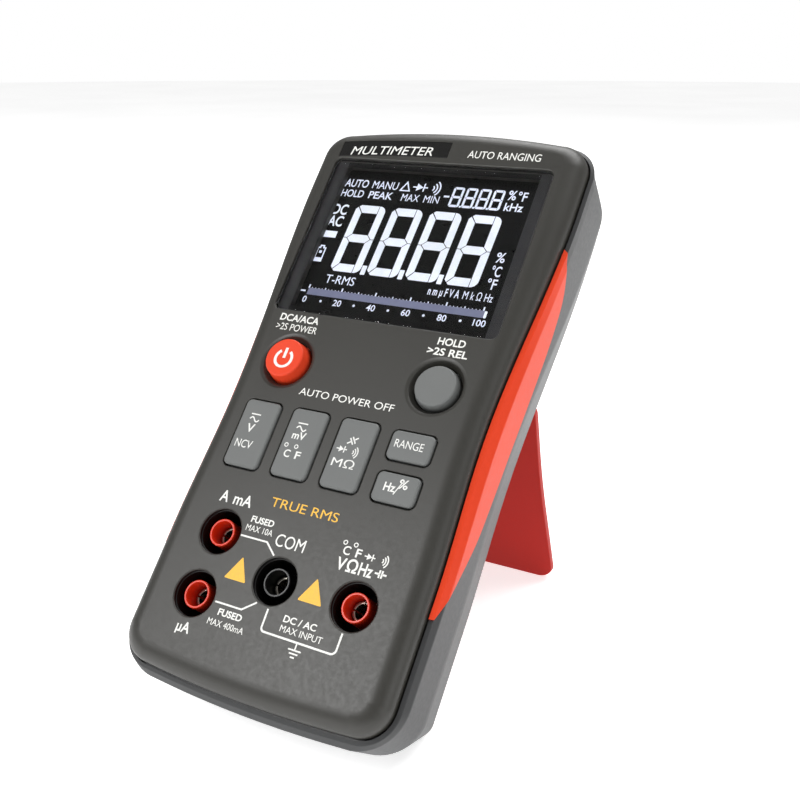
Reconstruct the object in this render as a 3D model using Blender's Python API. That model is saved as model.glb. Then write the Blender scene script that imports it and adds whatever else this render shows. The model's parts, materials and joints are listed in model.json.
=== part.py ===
"""Handheld digital multimeter standing on its kickstand, built in metres with +Z up.

The meter is modelled in its own frame: x to the right across the face, y up along the face
from the body centre, z out of the face, with the flat of the face at z = 0.  A single empty
leans that frame back so the meter rests on its lower back edge and the foot of the stand.
"""
import math

import bmesh
import bpy
from mathutils import Vector

MM = 0.001

# ---------------------------------------------------------------- attitude
LEAN = math.radians(42.5)              # lean of the face back from upright
STAND_RAKE = math.radians(16.0)        # open stand, measured from upright
STAND_OPEN = LEAN + STAND_RAKE         # swing of the stand away from the back
REST_CUT = 1.45 * MM                   # flat worn on the lower back edge

# ---------------------------------------------------------------- clearances
GAP = 0.3 * MM                         # between parts that bear on each other
SLIDE_GAP = 0.4 * MM                   # around moving keys
TINY = 0.05 * MM                       # overrun of a cutting tool

# ---------------------------------------------------------------- body outline
HEAD_HALF = 41.8 * MM                  # front shell, half width beside the display
WAIST_HALF = 37.9 * MM                 # front shell, half width at the grip
FOOT_HALF = 39.0 * MM                  # front shell, half width beside the jacks
HEAD_Y = 62.0 * MM
WAIST_Y = -10.0 * MM
FOOT_Y = -48.0 * MM
FRONT_TOP = 83.4 * MM
FRONT_BOTTOM = -84.7 * MM
FRONT_CORNER = 8.5 * MM
ARCH_REACH = 35.0 * MM                 # half width over which the end arches are measured
TOP_ARCH = 2.4 * MM
BOTTOM_ARCH = 1.6 * MM
RIM_HEAD = 1.5 * MM                    # how far the rear shell stands out past the front
RIM_WAIST = 2.9 * MM
RIM_FOOT = 2.5 * MM
RIM_TOP = 2.2 * MM
RIM_BOTTOM = 2.8 * MM
REAR_CORNER = 13.0 * MM
SMALL_RADIUS = 1.0 * MM
SIDE_SPANS = 14
END_SPANS = 8
CORNER_SPANS = 6

# ---------------------------------------------------------------- shell depths (below the face)
WALL = 2.2 * MM
EDGE_ROLL = 5.5 * MM                   # width of the rounded edge of the face
EDGE_DROP = 4.2 * MM
EDGE_SPANS = 6
LIP_Z = -6.1 * MM                      # lower rim of the front shell
GROOVE = 0.5 * MM                      # dark shadow line between the shells
RIM_Z = -5.0 * MM
BEVEL_OUT = 1.0 * MM                   # first narrow bevel of the rim
BEVEL_Z = -5.4 * MM
RIDGE_Z = -7.2 * MM
HEAD_SINK = 1.3 * MM                   # the seam runs deeper beside the display
RIDGE_SINK = 2.2 * MM
SIDE_Z = -20.6 * MM                    # rear edge of the side wall
SIDE_SINK = 4.0 * MM
SIDE_DRAFT = 0.9 * MM
BACK_Z = -39.5 * MM
BACK_TUCK = 8.5 * MM                   # how far the back draws in at the top and bottom
BACK_TUCK_SIDE = 6.4 * MM              # how far it draws in at the sides
TONGUE_OUT = 2.9 * MM
TONGUE_IN = 4.1 * MM
TONGUE_Z = -4.8 * MM
REAR_INNER = 3.0 * MM
SHOULDER_Z = -7.6 * MM

# ---------------------------------------------------------------- display
WINDOW_W = 69.4 * MM
WINDOW_H = 52.4 * MM
WINDOW_Y = 44.35 * MM
WINDOW_R = 2.2 * MM
LENS_T = 1.6 * MM
LENS_SINK = 0.35 * MM
LEDGE_SIDE = 4.0 * MM                  # dark border seen through the lens
LEDGE_END = 1.8 * MM
LEDGE_Z = -4.0 * MM
FRAME_WALL = 2.0 * MM
LCD_W = 65.0 * MM
LCD_H = 50.6 * MM
LCD_T = 2.0 * MM
BACKLIGHT_T = 3.0 * MM
CARRIER_WALL = 1.6 * MM
CARRIER_SHELF = 5.0 * MM
CARRIER_SHELF_T = 1.4 * MM

# ---------------------------------------------------------------- name plate
PLATE_LEFT = -34.3 * MM
PLATE_RIGHT = 1.3 * MM
PLATE_TOP = 77.75 * MM
PLATE_H = 5.2 * MM
PLATE_DROP = 1.5 * MM                  # fall of the plate toward its left end
PLATE_T = 0.7 * MM
PLATE_SPANS = 8

# ---------------------------------------------------------------- keys
KEY_TRAVEL = 1.0 * MM
KEY_PROUD = 0.7 * MM
KEY_BEVEL = 0.5 * MM
KEY_R = 1.5 * MM
KEY_FLANGE = 0.9 * MM
KEY_FLANGE_T = 1.0 * MM
STEM_R = 2.2 * MM
TALL_W = 10.95 * MM
TALL_H = 19.2 * MM
TALL_Y = -19.7 * MM
TALL_X0 = -24.0 * MM
TALL_PITCH = 15.25 * MM
SMALL_W = 12.0 * MM
SMALL_H = 7.8 * MM
SMALL_X = 22.35 * MM
SMALL_TOP_Y = -14.5 * MM
SMALL_PITCH = 11.25 * MM
ROUND_X = 22.9 * MM
ROUND_Y = 2.9 * MM
ROUND_TOP_R = 5.65 * MM
ROUND_BASE_R = 6.2 * MM
DISH_R = 7.95 * MM
DISH_Z = -1.6 * MM
DISH_PAD_R = 9.2 * MM
DISH_PAD_Z = -4.0 * MM
POWER_PROUD = 2.1 * MM
HOLD_PROUD = 0.5 * MM
SWITCH_W = 6.0 * MM
SWITCH_H = 3.2 * MM
PLUNGER_R = 1.7 * MM
PLUNGER_H = 0.5 * MM

# ---------------------------------------------------------------- jacks
JACK_WELL_R = 6.05 * MM
JACK_CHAMFER = 0.35 * MM
JACK_WALL = 1.35 * MM
WELL_Z = -13.0 * MM
WELL_FLOOR = 1.5 * MM
COLLAR_R = 3.7 * MM
COLLAR_BORE = 3.1 * MM
COLLAR_Z = -1.0 * MM
COLLAR_FOOT_R = 5.2 * MM
COLLAR_ROUND = 0.25 * MM
SLEEVE_R = 2.75 * MM
SLEEVE_BORE = 2.05 * MM
SLEEVE_Z = -5.5 * MM
SLEEVE_FOOT_R = 4.0 * MM
SLEEVE_FOOT_T = 0.5 * MM
SLEEVE_SLIT = 0.5 * MM
SLEEVE_SLIT_DEPTH = 5.0 * MM
JACK_LEFT_X = -21.7 * MM
JACK_AMP_Y = -47.1 * MM
JACK_MICRO_Y = -63.9 * MM
JACK_COM = (-0.7 * MM, -55.4 * MM)
JACK_VOLT = (22.3 * MM, -55.8 * MM)

# ---------------------------------------------------------------- circuit board and what it carries
BOARD_TOP = -16.2 * MM
BOARD_T = 1.6 * MM
BOARD_HALF = 33.0 * MM
BOARD_Y0 = -78.0 * MM
BOARD_Y1 = 75.0 * MM
BOARD_CUT = 8.0 * MM
FUSE_BIG_R = 3.1 * MM
FUSE_BIG_L = 32.0 * MM
FUSE_BIG_Y = -70.5 * MM
FUSE_SMALL_R = 2.6 * MM
FUSE_SMALL_L = 20.0 * MM
FUSE_SMALL_X = 8.5 * MM
FUSE_SMALL_Y = -45.5 * MM
FUSE_CAP_L = 6.0 * MM
FUSE_NECK = 0.25 * MM
FUSE_LIFT = 1.1 * MM
CLIP_T = 0.5 * MM
CLIP_L = 4.0 * MM
BUZZER_R = 6.5 * MM
BUZZER_H = 4.0 * MM
BUZZER_XY = (20.0 * MM, 32.0 * MM)
BUZZER_HOLE = 1.2 * MM
CHIP_W = 14.0 * MM
CHIP_T = 1.6 * MM
CHIP_XY = (-6.0 * MM, 38.0 * MM)
ANTENNA_W = 24.0 * MM
ANTENNA_T = 0.8 * MM
ANTENNA_H = 7.0 * MM

# ---------------------------------------------------------------- screws
CASE_SCREW_X = 27.0 * MM
CASE_SCREW_YS = (12.8 * MM, -74.0 * MM)
CASE_POST_R = 5.0 * MM
CASE_BOSS_R = 3.0 * MM
CASE_HEAD_R = 2.9 * MM
CASE_HEAD_T = 1.8 * MM
CASE_SEAT_DEPTH = 5.0 * MM
CASE_SEAT_Z = BACK_Z + CASE_SEAT_DEPTH
CASE_SHAFT_R = 1.35 * MM
CASE_TIP_Z = -9.0 * MM
BOSS_TIP = 0.8 * MM                    # boss stops this far past the lower side of the board
BOARD_SCREW_X = 28.5 * MM
BOARD_SCREW_Y = -36.0 * MM
BOARD_BOSS_R = 2.6 * MM
BOARD_HEAD_R = 2.5 * MM
BOARD_HEAD_T = 1.5 * MM
BOARD_SHAFT_R = 1.1 * MM
BOARD_TIP_Z = -9.5 * MM
DRIVE_W = 0.7 * MM
DRIVE_L = 3.0 * MM
DRIVE_DEPTH = 0.8 * MM

# ---------------------------------------------------------------- batteries
CELL_R = 5.25 * MM
CELL_L = 43.6 * MM
NIPPLE_R = 1.9 * MM
NIPPLE_L = 0.9 * MM
CELL_SPACE = 1.5 * MM                  # between the two cells
CELL_PITCH = 2.0 * CELL_R + CELL_SPACE
BAY_Y = -32.0 * MM
CELL_TO_DOOR = 0.65 * MM
CELL_TO_END = 3.8 * MM                 # room for a contact at each end of a cell
BAY_WALL = 1.5 * MM
CONTACT_T = 0.4 * MM
CONTACT_W = 9.0 * MM
CONTACT_H = 8.0 * MM
CONTACT_BUMP_R = 2.6 * MM
DOOR_SIDE = 2.6 * MM                   # door past the bay at each end
DOOR_T = 1.6 * MM
DOOR_R = 3.0 * MM
DOOR_RIM = 1.7 * MM
DOOR_RIM_Z = BACK_Z + DOOR_T + 3.1 * MM
DOOR_BOSS_R = 4.0 * MM
DOOR_BOSS_T = 3.6 * MM
DOOR_POST_R = 5.6 * MM
DOOR_HEAD_R = 2.5 * MM
DOOR_HEAD_T = 1.5 * MM
DOOR_SHAFT_R = 1.1 * MM
DOOR_SCREW_L = 9.4 * MM

# The bay, the door and its screw take their places from the cells.
BAY_HALF_X = CELL_L / 2.0 + CELL_TO_END
BAY_HALF_Y = CELL_R + CELL_PITCH / 2.0 + GAP
DOOR_HALF_X = BAY_HALF_X + DOOR_SIDE
BAY_Z = BACK_Z + DOOR_T + CELL_TO_DOOR + CELL_R
DOOR_SCREW_Y = BAY_Y - BAY_HALF_Y - DOOR_BOSS_R - 1.45 * MM
DOOR_TOP = BAY_Y + BAY_HALF_Y + 3.95 * MM
DOOR_BOTTOM = DOOR_SCREW_Y - DOOR_BOSS_R - 0.5 * MM
DOOR_TIP_Z = BACK_Z + DOOR_HEAD_T + GAP + DOOR_SCREW_L + GAP

# ---------------------------------------------------------------- kickstand
HINGE_Y = 26.5 * MM
HINGE_INSET = 2.1 * MM                 # hinge axis in from the back
HINGE_Z = BACK_Z + HINGE_INSET
KNUCKLE_R = 3.6 * MM
KNUCKLE_HALF = 19.7 * MM
STAND_IN = 2.4 * MM                   # hinge axis to the inner face of the stand
STAND_T = 2.4 * MM
STAND_HEEL = 0.8 * MM                  # the plate starts this far past the hinge axis
STAND_ROOT = 11.0 * MM                 # narrow neck below the hinge
STAND_HALF_TOP = 30.6 * MM
STAND_HALF_MID = 30.3 * MM
STAND_HALF_FOOT = 32.1 * MM
STAND_MID = 42.0 * MM
STAND_CORNER = 3.0 * MM
PIN_R = 1.2 * MM
PIN_HALF = 23.0 * MM
HOUSING_HALF_X = 26.0 * MM
HOUSING_WALL = 1.6 * MM
HOUSING_HALF_Y = KNUCKLE_R + SLIDE_GAP + HOUSING_WALL + SLIDE_GAP
HOUSING_Z = HINGE_Z + KNUCKLE_R + SLIDE_GAP + HOUSING_WALL

# ---------------------------------------------------------------- side grips
GRIP_PROUD = 0.4 * MM
GRIP_DEPTH = 1.3 * MM
GRIP_TOP_TIP = 51.6 * MM
GRIP_TOP_RIDGE = 47.0 * MM
GRIP_BOTTOM_TIP = -53.0 * MM
GRIP_BOTTOM_RIDGE = -46.5 * MM
GRIP_UPPER = (40.0 * MM, -14.5 * MM)
GRIP_SHOULDER = (27.0 * MM, -17.6 * MM)
GRIP_BELLY = (6.0 * MM, -18.9 * MM)
GRIP_LOWER = (-14.0 * MM, -17.6 * MM)
GRIP_TAIL = (-30.0 * MM, -14.6 * MM)

ROUND_SEGMENTS = 28
FINE_SEGMENTS = 16
RECT_SPANS = 3
SMOOTH_ANGLE = math.radians(32.0)
FAR = 120.0 * MM

BOARD_BOTTOM = BOARD_TOP - BOARD_T
STEM_END = BOARD_TOP + SWITCH_H + PLUNGER_H + KEY_TRAVEL + SLIDE_GAP


# ================================================================ scene and materials
for old in list(bpy.data.objects):
    bpy.data.objects.remove(old, do_unlink=True)

parts = bpy.data.collections.new("digital_multimeter")
cutters = bpy.data.collections.new("cutters")
bpy.context.scene.collection.children.link(parts)
bpy.context.scene.collection.children.link(cutters)

frame = bpy.data.objects.new("meter_frame", None)
parts.objects.link(frame)


def material(name, colour, roughness, metallic=0.0, transmission=0.0):
    """A material of its own for one kind of part."""
    mat = bpy.data.materials.new(name)
    mat.use_nodes = True
    shader = mat.node_tree.nodes["Principled BSDF"]
    shader.inputs["Base Color"].default_value = (colour[0], colour[1], colour[2], 1.0)
    shader.inputs["Roughness"].default_value = roughness
    shader.inputs["Metallic"].default_value = metallic
    shader.inputs["Transmission Weight"].default_value = transmission
    return mat


# ================================================================ outline of the two shells
def smooth(t):
    """Ease from 0 to 1."""
    t = min(1.0, max(0.0, t))
    return t * t * (3.0 - 2.0 * t)


def half_width(shell, y):
    """Half width of a shell at height y: wide head, narrow waist, slightly wider foot."""
    head, waist, foot = shell["halves"]
    if y > WAIST_Y:
        return waist + (head - waist) * smooth((y - WAIST_Y) / (HEAD_Y - WAIST_Y))
    return waist + (foot - waist) * smooth((WAIST_Y - y) / (WAIST_Y - FOOT_Y))


def end_height(shell, x, upper):
    """Height of the arched top or bottom end at x."""
    bend = (x / ARCH_REACH) ** 2
    if upper:
        return shell["top"] - TOP_ARCH * bend
    return shell["bottom"] + BOTTOM_ARCH * bend


def corner_centre(shell, inset, radius, upper):
    """Centre of the corner arc on the +x side."""
    side = 1.0 if upper else -1.0
    y = end_height(shell, 0.0, upper) - side * (inset + radius)
    x = 0.0
    for _ in range(SIDE_SPANS):
        x = half_width(shell, y) - inset - radius
        y = end_height(shell, x, upper) - side * (inset + radius)
    return x, y


def outline(shell, inset):
    """Closed outline of a shell, drawn in by inset, counter-clockwise seen from the front."""
    radius = max(shell["corner"] - inset, SMALL_RADIUS)
    top_x, top_y = corner_centre(shell, inset, radius, True)
    low_x, low_y = corner_centre(shell, inset, radius, False)
    right = []
    for i in range(CORNER_SPANS):
        a = -math.pi / 2.0 * (1.0 - i / CORNER_SPANS)
        right.append((low_x + radius * math.cos(a), low_y + radius * math.sin(a)))
    for i in range(SIDE_SPANS):
        y = low_y + (top_y - low_y) * i / SIDE_SPANS
        right.append((half_width(shell, y) - inset, y))
    for i in range(CORNER_SPANS):
        a = math.pi / 2.0 * i / CORNER_SPANS
        right.append((top_x + radius * math.cos(a), top_y + radius * math.sin(a)))
    for i in range(END_SPANS // 2):
        x = top_x * (1.0 - 2.0 * i / END_SPANS)
        right.append((x, end_height(shell, x, True) - inset))
    left = []
    for i in range(END_SPANS // 2):
        x = -top_x * 2.0 * i / END_SPANS
        left.append((x, end_height(shell, x, True) - inset))
    for i in range(CORNER_SPANS):
        a = math.pi / 2.0 * (1.0 + i / CORNER_SPANS)
        left.append((-top_x + radius * math.cos(a), top_y + radius * math.sin(a)))
    for i in range(SIDE_SPANS):
        y = top_y + (low_y - top_y) * i / SIDE_SPANS
        left.append((-half_width(shell, y) + inset, y))
    for i in range(CORNER_SPANS):
        a = math.pi + math.pi / 2.0 * i / CORNER_SPANS
        left.append((-low_x + radius * math.cos(a), low_y + radius * math.sin(a)))
    bottom = []
    for i in range(END_SPANS):
        x = low_x * (2.0 * i / END_SPANS - 1.0)
        bottom.append((x, end_height(shell, x, False) + inset))
    return right + left + bottom


FRONT = {
    "halves": (HEAD_HALF, WAIST_HALF, FOOT_HALF),
    "top": FRONT_TOP,
    "bottom": FRONT_BOTTOM,
    "corner": FRONT_CORNER,
}
REAR = {
    "halves": (HEAD_HALF + RIM_HEAD, WAIST_HALF + RIM_WAIST, FOOT_HALF + RIM_FOOT),
    "top": FRONT_TOP + RIM_TOP,
    "bottom": FRONT_BOTTOM - RIM_BOTTOM,
    "corner": REAR_CORNER,
}
BACK = {
    "halves": tuple(half - BACK_TUCK_SIDE for half in REAR["halves"]),
    "top": REAR["top"] - BACK_TUCK,
    "bottom": REAR["bottom"] + BACK_TUCK,
    "corner": REAR_CORNER - BACK_TUCK,
}


# ================================================================ mesh helpers
def finish(name, bm, target, mat=None, origin=(0.0, 0.0, 0.0)):
    """Turn a bmesh in the meter frame into an object whose own origin sits at origin."""
    shift = Vector(origin)
    for vert in bm.verts:
        vert.co -= shift
    bmesh.ops.recalc_face_normals(bm, faces=bm.faces)
    mesh = bpy.data.meshes.new(name)
    bm.to_mesh(mesh)
    bm.free()
    for poly in mesh.polygons:
        poly.use_smooth = True
    mesh.set_sharp_from_angle(angle=SMOOTH_ANGLE)
    obj = bpy.data.objects.new(name, mesh)
    obj.location = shift
    obj.parent = frame
    target.objects.link(obj)
    if mat is not None:
        mesh.materials.append(mat)
    return obj


def part(name, bm, mat, origin=(0.0, 0.0, 0.0)):
    """A real piece of the meter."""
    return finish(name, bm, parts, mat, origin)


def cutter(name, bm):
    """A hidden tool that shapes a part."""
    obj = finish(name, bm, cutters)
    obj.hide_render = True
    obj.display_type = "WIRE"
    return obj


def combine(target, tool, operation):
    """Add or remove the tool."""
    mod = target.modifiers.new(operation.lower() + "_" + tool.name, "BOOLEAN")
    mod.object = tool
    mod.operation = operation
    mod.solver = "EXACT"


def cut(target, tool):
    """Remove the tool from the target."""
    combine(target, tool, "DIFFERENCE")


def join(target, tool):
    """Add the tool to the target."""
    combine(target, tool, "UNION")


def loft(bm, rings):
    """Closed skin through rings of equal length, capped at both ends."""
    levels = []
    for ring in rings:
        levels.append([bm.verts.new(point) for point in ring])
    count = len(levels[0])
    for low, high in zip(levels, levels[1:]):
        for i in range(count):
            j = (i + 1) % count
            bm.faces.new((low[i], low[j], high[j], high[i]))
    bm.faces.new(levels[0])
    bm.faces.new(levels[-1])
    return bm


def at_level(points, z, sink=0.0):
    """Lift a flat outline to height z, sinking by a given amount toward the head."""
    span = HEAD_Y - WAIST_Y
    return [(p[0], p[1], z - sink * smooth((p[1] - WAIST_Y) / span)) for p in points]


def rounded_rect(x, y, width, height, radius, spans=RECT_SPANS):
    """Rectangle with rounded corners, counter-clockwise."""
    points = []
    for k in range(4):
        sx = 1.0 if k in (0, 3) else -1.0
        sy = 1.0 if k in (0, 1) else -1.0
        cx = x + sx * (width / 2.0 - radius)
        cy = y + sy * (height / 2.0 - radius)
        for i in range(spans + 1):
            a = math.pi / 2.0 * (k + i / spans)
            points.append((cx + radius * math.cos(a), cy + radius * math.sin(a)))
    return points


def circle(x, y, radius, segments=ROUND_SEGMENTS):
    """Circle, counter-clockwise."""
    points = []
    for i in range(segments):
        a = 2.0 * math.pi * i / segments
        points.append((x + radius * math.cos(a), y + radius * math.sin(a)))
    return points


def prism(points, z0, z1):
    """Straight prism between two levels."""
    return loft(bmesh.new(), [at_level(points, z0), at_level(points, z1)])


def box(x0, x1, y0, y1, z0, z1):
    """Axis-aligned box."""
    return prism([(x0, y0), (x1, y0), (x1, y1), (x0, y1)], z0, z1)


def turned(x, y, profile, segments=ROUND_SEGMENTS):
    """Solid of revolution about an axis along z: profile holds (radius, z) pairs."""
    return loft(bmesh.new(), [at_level(circle(x, y, r, segments), z) for r, z in profile])


def turned_across(y, z, profile, segments=FINE_SEGMENTS):
    """Solid of revolution about an axis along x: profile holds (radius, x) pairs."""
    rings = []
    for r, x in profile:
        ring = circle(y, z, r, segments)
        rings.append([(x, p[0], p[1]) for p in ring])
    return loft(bmesh.new(), rings)


def tube(x, y, sections, segments=ROUND_SEGMENTS):
    """Ring-shaped solid about an axis along z: sections is a closed loop of (radius, z)."""
    bm = bmesh.new()
    loops = []
    for r, z in sections:
        loops.append([bm.verts.new(p) for p in at_level(circle(x, y, r, segments), z)])
    for k, low in enumerate(loops):
        high = loops[(k + 1) % len(loops)]
        for i in range(segments):
            j = (i + 1) % segments
            bm.faces.new((low[i], low[j], high[j], high[i]))
    return bm


def slab_across(points, x0, x1):
    """Prism along x of an outline given as (y, z) pairs."""
    return loft(bmesh.new(), [[(x, p[0], p[1]) for p in points] for x in (x0, x1)])


def tilted(back, up):
    """Meter-frame (y, z) of a point given by its distance to the rear and its height."""
    return (
        back * math.sin(LEAN) + up * math.cos(LEAN),
        up * math.sin(LEAN) - back * math.cos(LEAN),
    )


def height_of(y, z):
    """Height of a meter-frame point in the standing attitude."""
    return y * math.cos(LEAN) + z * math.sin(LEAN)


GROUND = height_of(BACK["bottom"], BACK_Z) + REST_CUT


# ================================================================ materials
front_mat = material("front_shell_plastic", (0.055, 0.053, 0.049), 0.42)
rear_mat = material("rear_shell_plastic", (0.07, 0.072, 0.074), 0.5)
grip_mat = material("grip_plastic_red", (0.75, 0.06, 0.015), 0.4)
lens_mat = material("lens_acrylic", (0.02, 0.02, 0.02), 0.05, transmission=0.9)
plate_mat = material("name_plate_black", (0.012, 0.011, 0.01), 0.3)
key_mat = material("key_plastic_grey", (0.22, 0.225, 0.222), 0.55)
power_mat = material("key_plastic_red", (0.75, 0.07, 0.02), 0.4)
collar_red_mat = material("jack_plastic_red", (0.6, 0.02, 0.005), 0.35)
collar_black_mat = material("jack_plastic_black", (0.01, 0.01, 0.01), 0.35)
metal_mat = material("contact_metal", (0.7, 0.68, 0.62), 0.25, metallic=1.0)
steel_mat = material("screw_steel", (0.5, 0.5, 0.5), 0.3, metallic=1.0)
stand_mat = material("stand_plastic_red", (0.62, 0.04, 0.01), 0.4)
door_mat = material("door_plastic", (0.06, 0.062, 0.064), 0.5)
lcd_mat = material("lcd_black", (0.008, 0.008, 0.008), 0.15)
carrier_mat = material("carrier_white_plastic", (0.7, 0.7, 0.68), 0.5)
backlight_mat = material("backlight_diffuser", (0.85, 0.88, 0.9), 0.4)
board_mat = material("board_laminate", (0.02, 0.16, 0.06), 0.45)
switch_mat = material("switch_plastic", (0.03, 0.03, 0.03), 0.4)
ceramic_mat = material("fuse_ceramic", (0.8, 0.79, 0.75), 0.4)
buzzer_mat = material("buzzer_plastic", (0.02, 0.02, 0.02), 0.4)
chip_mat = material("chip_epoxy", (0.02, 0.02, 0.022), 0.5)
copper_mat = material("antenna_copper", (0.75, 0.4, 0.2), 0.3, metallic=1.0)
cell_mat = material("cell_sleeve", (0.15, 0.17, 0.2), 0.35)


# ================================================================ key and jack positions
tall_keys = []
for index in range(3):
    tall_keys.append((TALL_X0 + TALL_PITCH * index, TALL_Y, TALL_W, TALL_H))
small_keys = []
for index in range(2):
    small_keys.append((SMALL_X, SMALL_TOP_Y - SMALL_PITCH * index, SMALL_W, SMALL_H))
jacks = {
    "amp": (JACK_LEFT_X, JACK_AMP_Y),
    "micro": (JACK_LEFT_X, JACK_MICRO_Y),
    "com": JACK_COM,
    "volt": JACK_VOLT,
}
case_screws = []
for y in CASE_SCREW_YS:
    for side in (-1.0, 1.0):
        case_screws.append((side * CASE_SCREW_X, y))
board_screws = [(-BOARD_SCREW_X, BOARD_SCREW_Y), (BOARD_SCREW_X, BOARD_SCREW_Y)]


# ================================================================ front shell
def front_shell():
    """Front shell with its window, key openings, jack wells and screw bosses."""
    rings = []
    rings.append(at_level(outline(FRONT, EDGE_ROLL + WALL), -WALL))
    rings.append(at_level(outline(FRONT, 2.0 * WALL), -WALL - GAP))
    rings.append(at_level(outline(FRONT, WALL + GAP), -EDGE_DROP, HEAD_SINK))
    rings.append(at_level(outline(FRONT, WALL), LIP_Z, HEAD_SINK))
    rings.append(at_level(outline(FRONT, 0.0), LIP_Z, HEAD_SINK))
    for i in range(EDGE_SPANS + 1):
        a = math.pi / 2.0 * i / EDGE_SPANS
        inset = EDGE_ROLL * (1.0 - math.cos(a))
        fall = 1.0 - math.sin(a)
        rings.append(at_level(outline(FRONT, inset), -EDGE_DROP * fall, HEAD_SINK * fall))
    shell = part("front_case", loft(bmesh.new(), rings), front_mat)

    pad = WINDOW_W + 2.0 * FRAME_WALL
    pad_h = WINDOW_H + 2.0 * FRAME_WALL
    frame_pad = rounded_rect(0.0, WINDOW_Y, pad, pad_h, WINDOW_R)
    join(shell, cutter("window_pad", prism(frame_pad, LEDGE_Z, -WALL / 2.0)))
    for k, side in enumerate((-1.0, 1.0)):
        pad = turned(side * ROUND_X, ROUND_Y, [(DISH_PAD_R, DISH_PAD_Z), (DISH_PAD_R, -WALL / 2.0)])
        join(shell, cutter("dish_pad_%d" % k, pad))
    for name, (x, y) in jacks.items():
        r = JACK_WELL_R + JACK_WALL
        cup = turned(x, y, [(r, WELL_Z - WELL_FLOOR), (r, -WALL / 2.0)])
        join(shell, cutter("well_cup_" + name, cup))
    for k, (x, y) in enumerate(case_screws):
        low = BOARD_BOTTOM - BOSS_TIP
        boss = turned(x, y, [(CASE_BOSS_R, low), (CASE_BOSS_R, -WALL / 2.0)], FINE_SEGMENTS)
        join(shell, cutter("case_boss_%d" % k, boss))
    for k, (x, y) in enumerate(board_screws):
        low = BOARD_TOP + GAP
        boss = turned(x, y, [(BOARD_BOSS_R, low), (BOARD_BOSS_R, -WALL / 2.0)], FINE_SEGMENTS)
        join(shell, cutter("board_boss_%d" % k, boss))

    lens_seat = LENS_SINK + LENS_T + GAP
    opening = rounded_rect(0.0, WINDOW_Y, WINDOW_W, WINDOW_H, WINDOW_R)
    cut(shell, cutter("window_cut", prism(opening, -lens_seat, WALL)))
    through_w = WINDOW_W - 2.0 * LEDGE_SIDE
    through_h = WINDOW_H - 2.0 * LEDGE_END
    through = rounded_rect(0.0, WINDOW_Y, through_w, through_h, WINDOW_R / 2.0)
    cut(shell, cutter("window_through", prism(through, LEDGE_Z - WALL, WALL)))
    plate = name_plate_outline(GAP)
    cut(shell, cutter("plate_pocket", prism(plate, -PLATE_T - GAP, WALL)))
    for k, (x, y, w, h) in enumerate(tall_keys + small_keys):
        grow = 2.0 * SLIDE_GAP
        hole = rounded_rect(x, y, w + grow, h + grow, KEY_R + SLIDE_GAP)
        cut(shell, cutter("key_hole_%d" % k, prism(hole, -2.0 * WALL, WALL)))
    for k, side in enumerate((-1.0, 1.0)):
        bore = ROUND_BASE_R + SLIDE_GAP
        lip = DISH_R + (DISH_R - bore) / -DISH_Z * WALL
        dish = [(bore, DISH_PAD_Z - WALL), (bore, DISH_Z), (lip, WALL)]
        cut(shell, cutter("dish_cut_%d" % k, turned(side * ROUND_X, ROUND_Y, dish)))
    for name, (x, y) in jacks.items():
        flare = JACK_WELL_R + JACK_CHAMFER + WALL
        well = [
            (JACK_WELL_R, WELL_Z),
            (JACK_WELL_R, -JACK_CHAMFER),
            (flare, WALL),
        ]
        cut(shell, cutter("well_cut_" + name, turned(x, y, well)))
        low = WELL_Z - WELL_FLOOR - WALL
        r = COLLAR_R + GAP
        cut(shell, cutter("well_hole_" + name, turned(x, y, [(r, low), (r, WELL_Z + WALL)])))
    for k, (x, y) in enumerate(case_screws):
        r = CASE_SHAFT_R + GAP
        hole = turned(x, y, [(r, BOARD_BOTTOM - WALL), (r, CASE_TIP_Z + GAP)], FINE_SEGMENTS)
        cut(shell, cutter("case_boss_bore_%d" % k, hole))
    for k, (x, y) in enumerate(board_screws):
        r = BOARD_SHAFT_R + GAP
        hole = turned(x, y, [(r, BOARD_TOP - WALL), (r, BOARD_TIP_Z + GAP)], FINE_SEGMENTS)
        cut(shell, cutter("board_boss_bore_%d" % k, hole))
    return shell


def name_plate_outline(grow):
    """Strip over the display whose long edges follow the arched top of the case."""
    left = PLATE_LEFT - grow
    right = PLATE_RIGHT + grow
    top = []
    low = []
    for i in range(PLATE_SPANS + 1):
        x = left + (right - left) * i / PLATE_SPANS
        y = PLATE_TOP - PLATE_DROP * (x / PLATE_LEFT) ** 2
        top.append((x, y + grow))
        low.append((x, y - PLATE_H - grow))
    return low + top[::-1]


# ================================================================ rear shell and its inlays
def rear_skin(grow):
    """Closed solid following the outside of the rear shell, moved out by grow."""
    rings = [
        at_level(outline(FRONT, WALL), RIM_Z + grow, HEAD_SINK),
        at_level(outline(FRONT, -GROOVE), RIM_Z + grow, HEAD_SINK),
        at_level(outline(FRONT, -GROOVE - BEVEL_OUT - grow / 2.0), BEVEL_Z + grow, HEAD_SINK),
        at_level(outline(REAR, -grow), RIDGE_Z + grow / 2.0, RIDGE_SINK),
        at_level(outline(REAR, SIDE_DRAFT - grow), SIDE_Z, SIDE_SINK),
        at_level(outline(BACK, -grow), BACK_Z - grow),
    ]
    return loft(bmesh.new(), rings)


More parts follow.
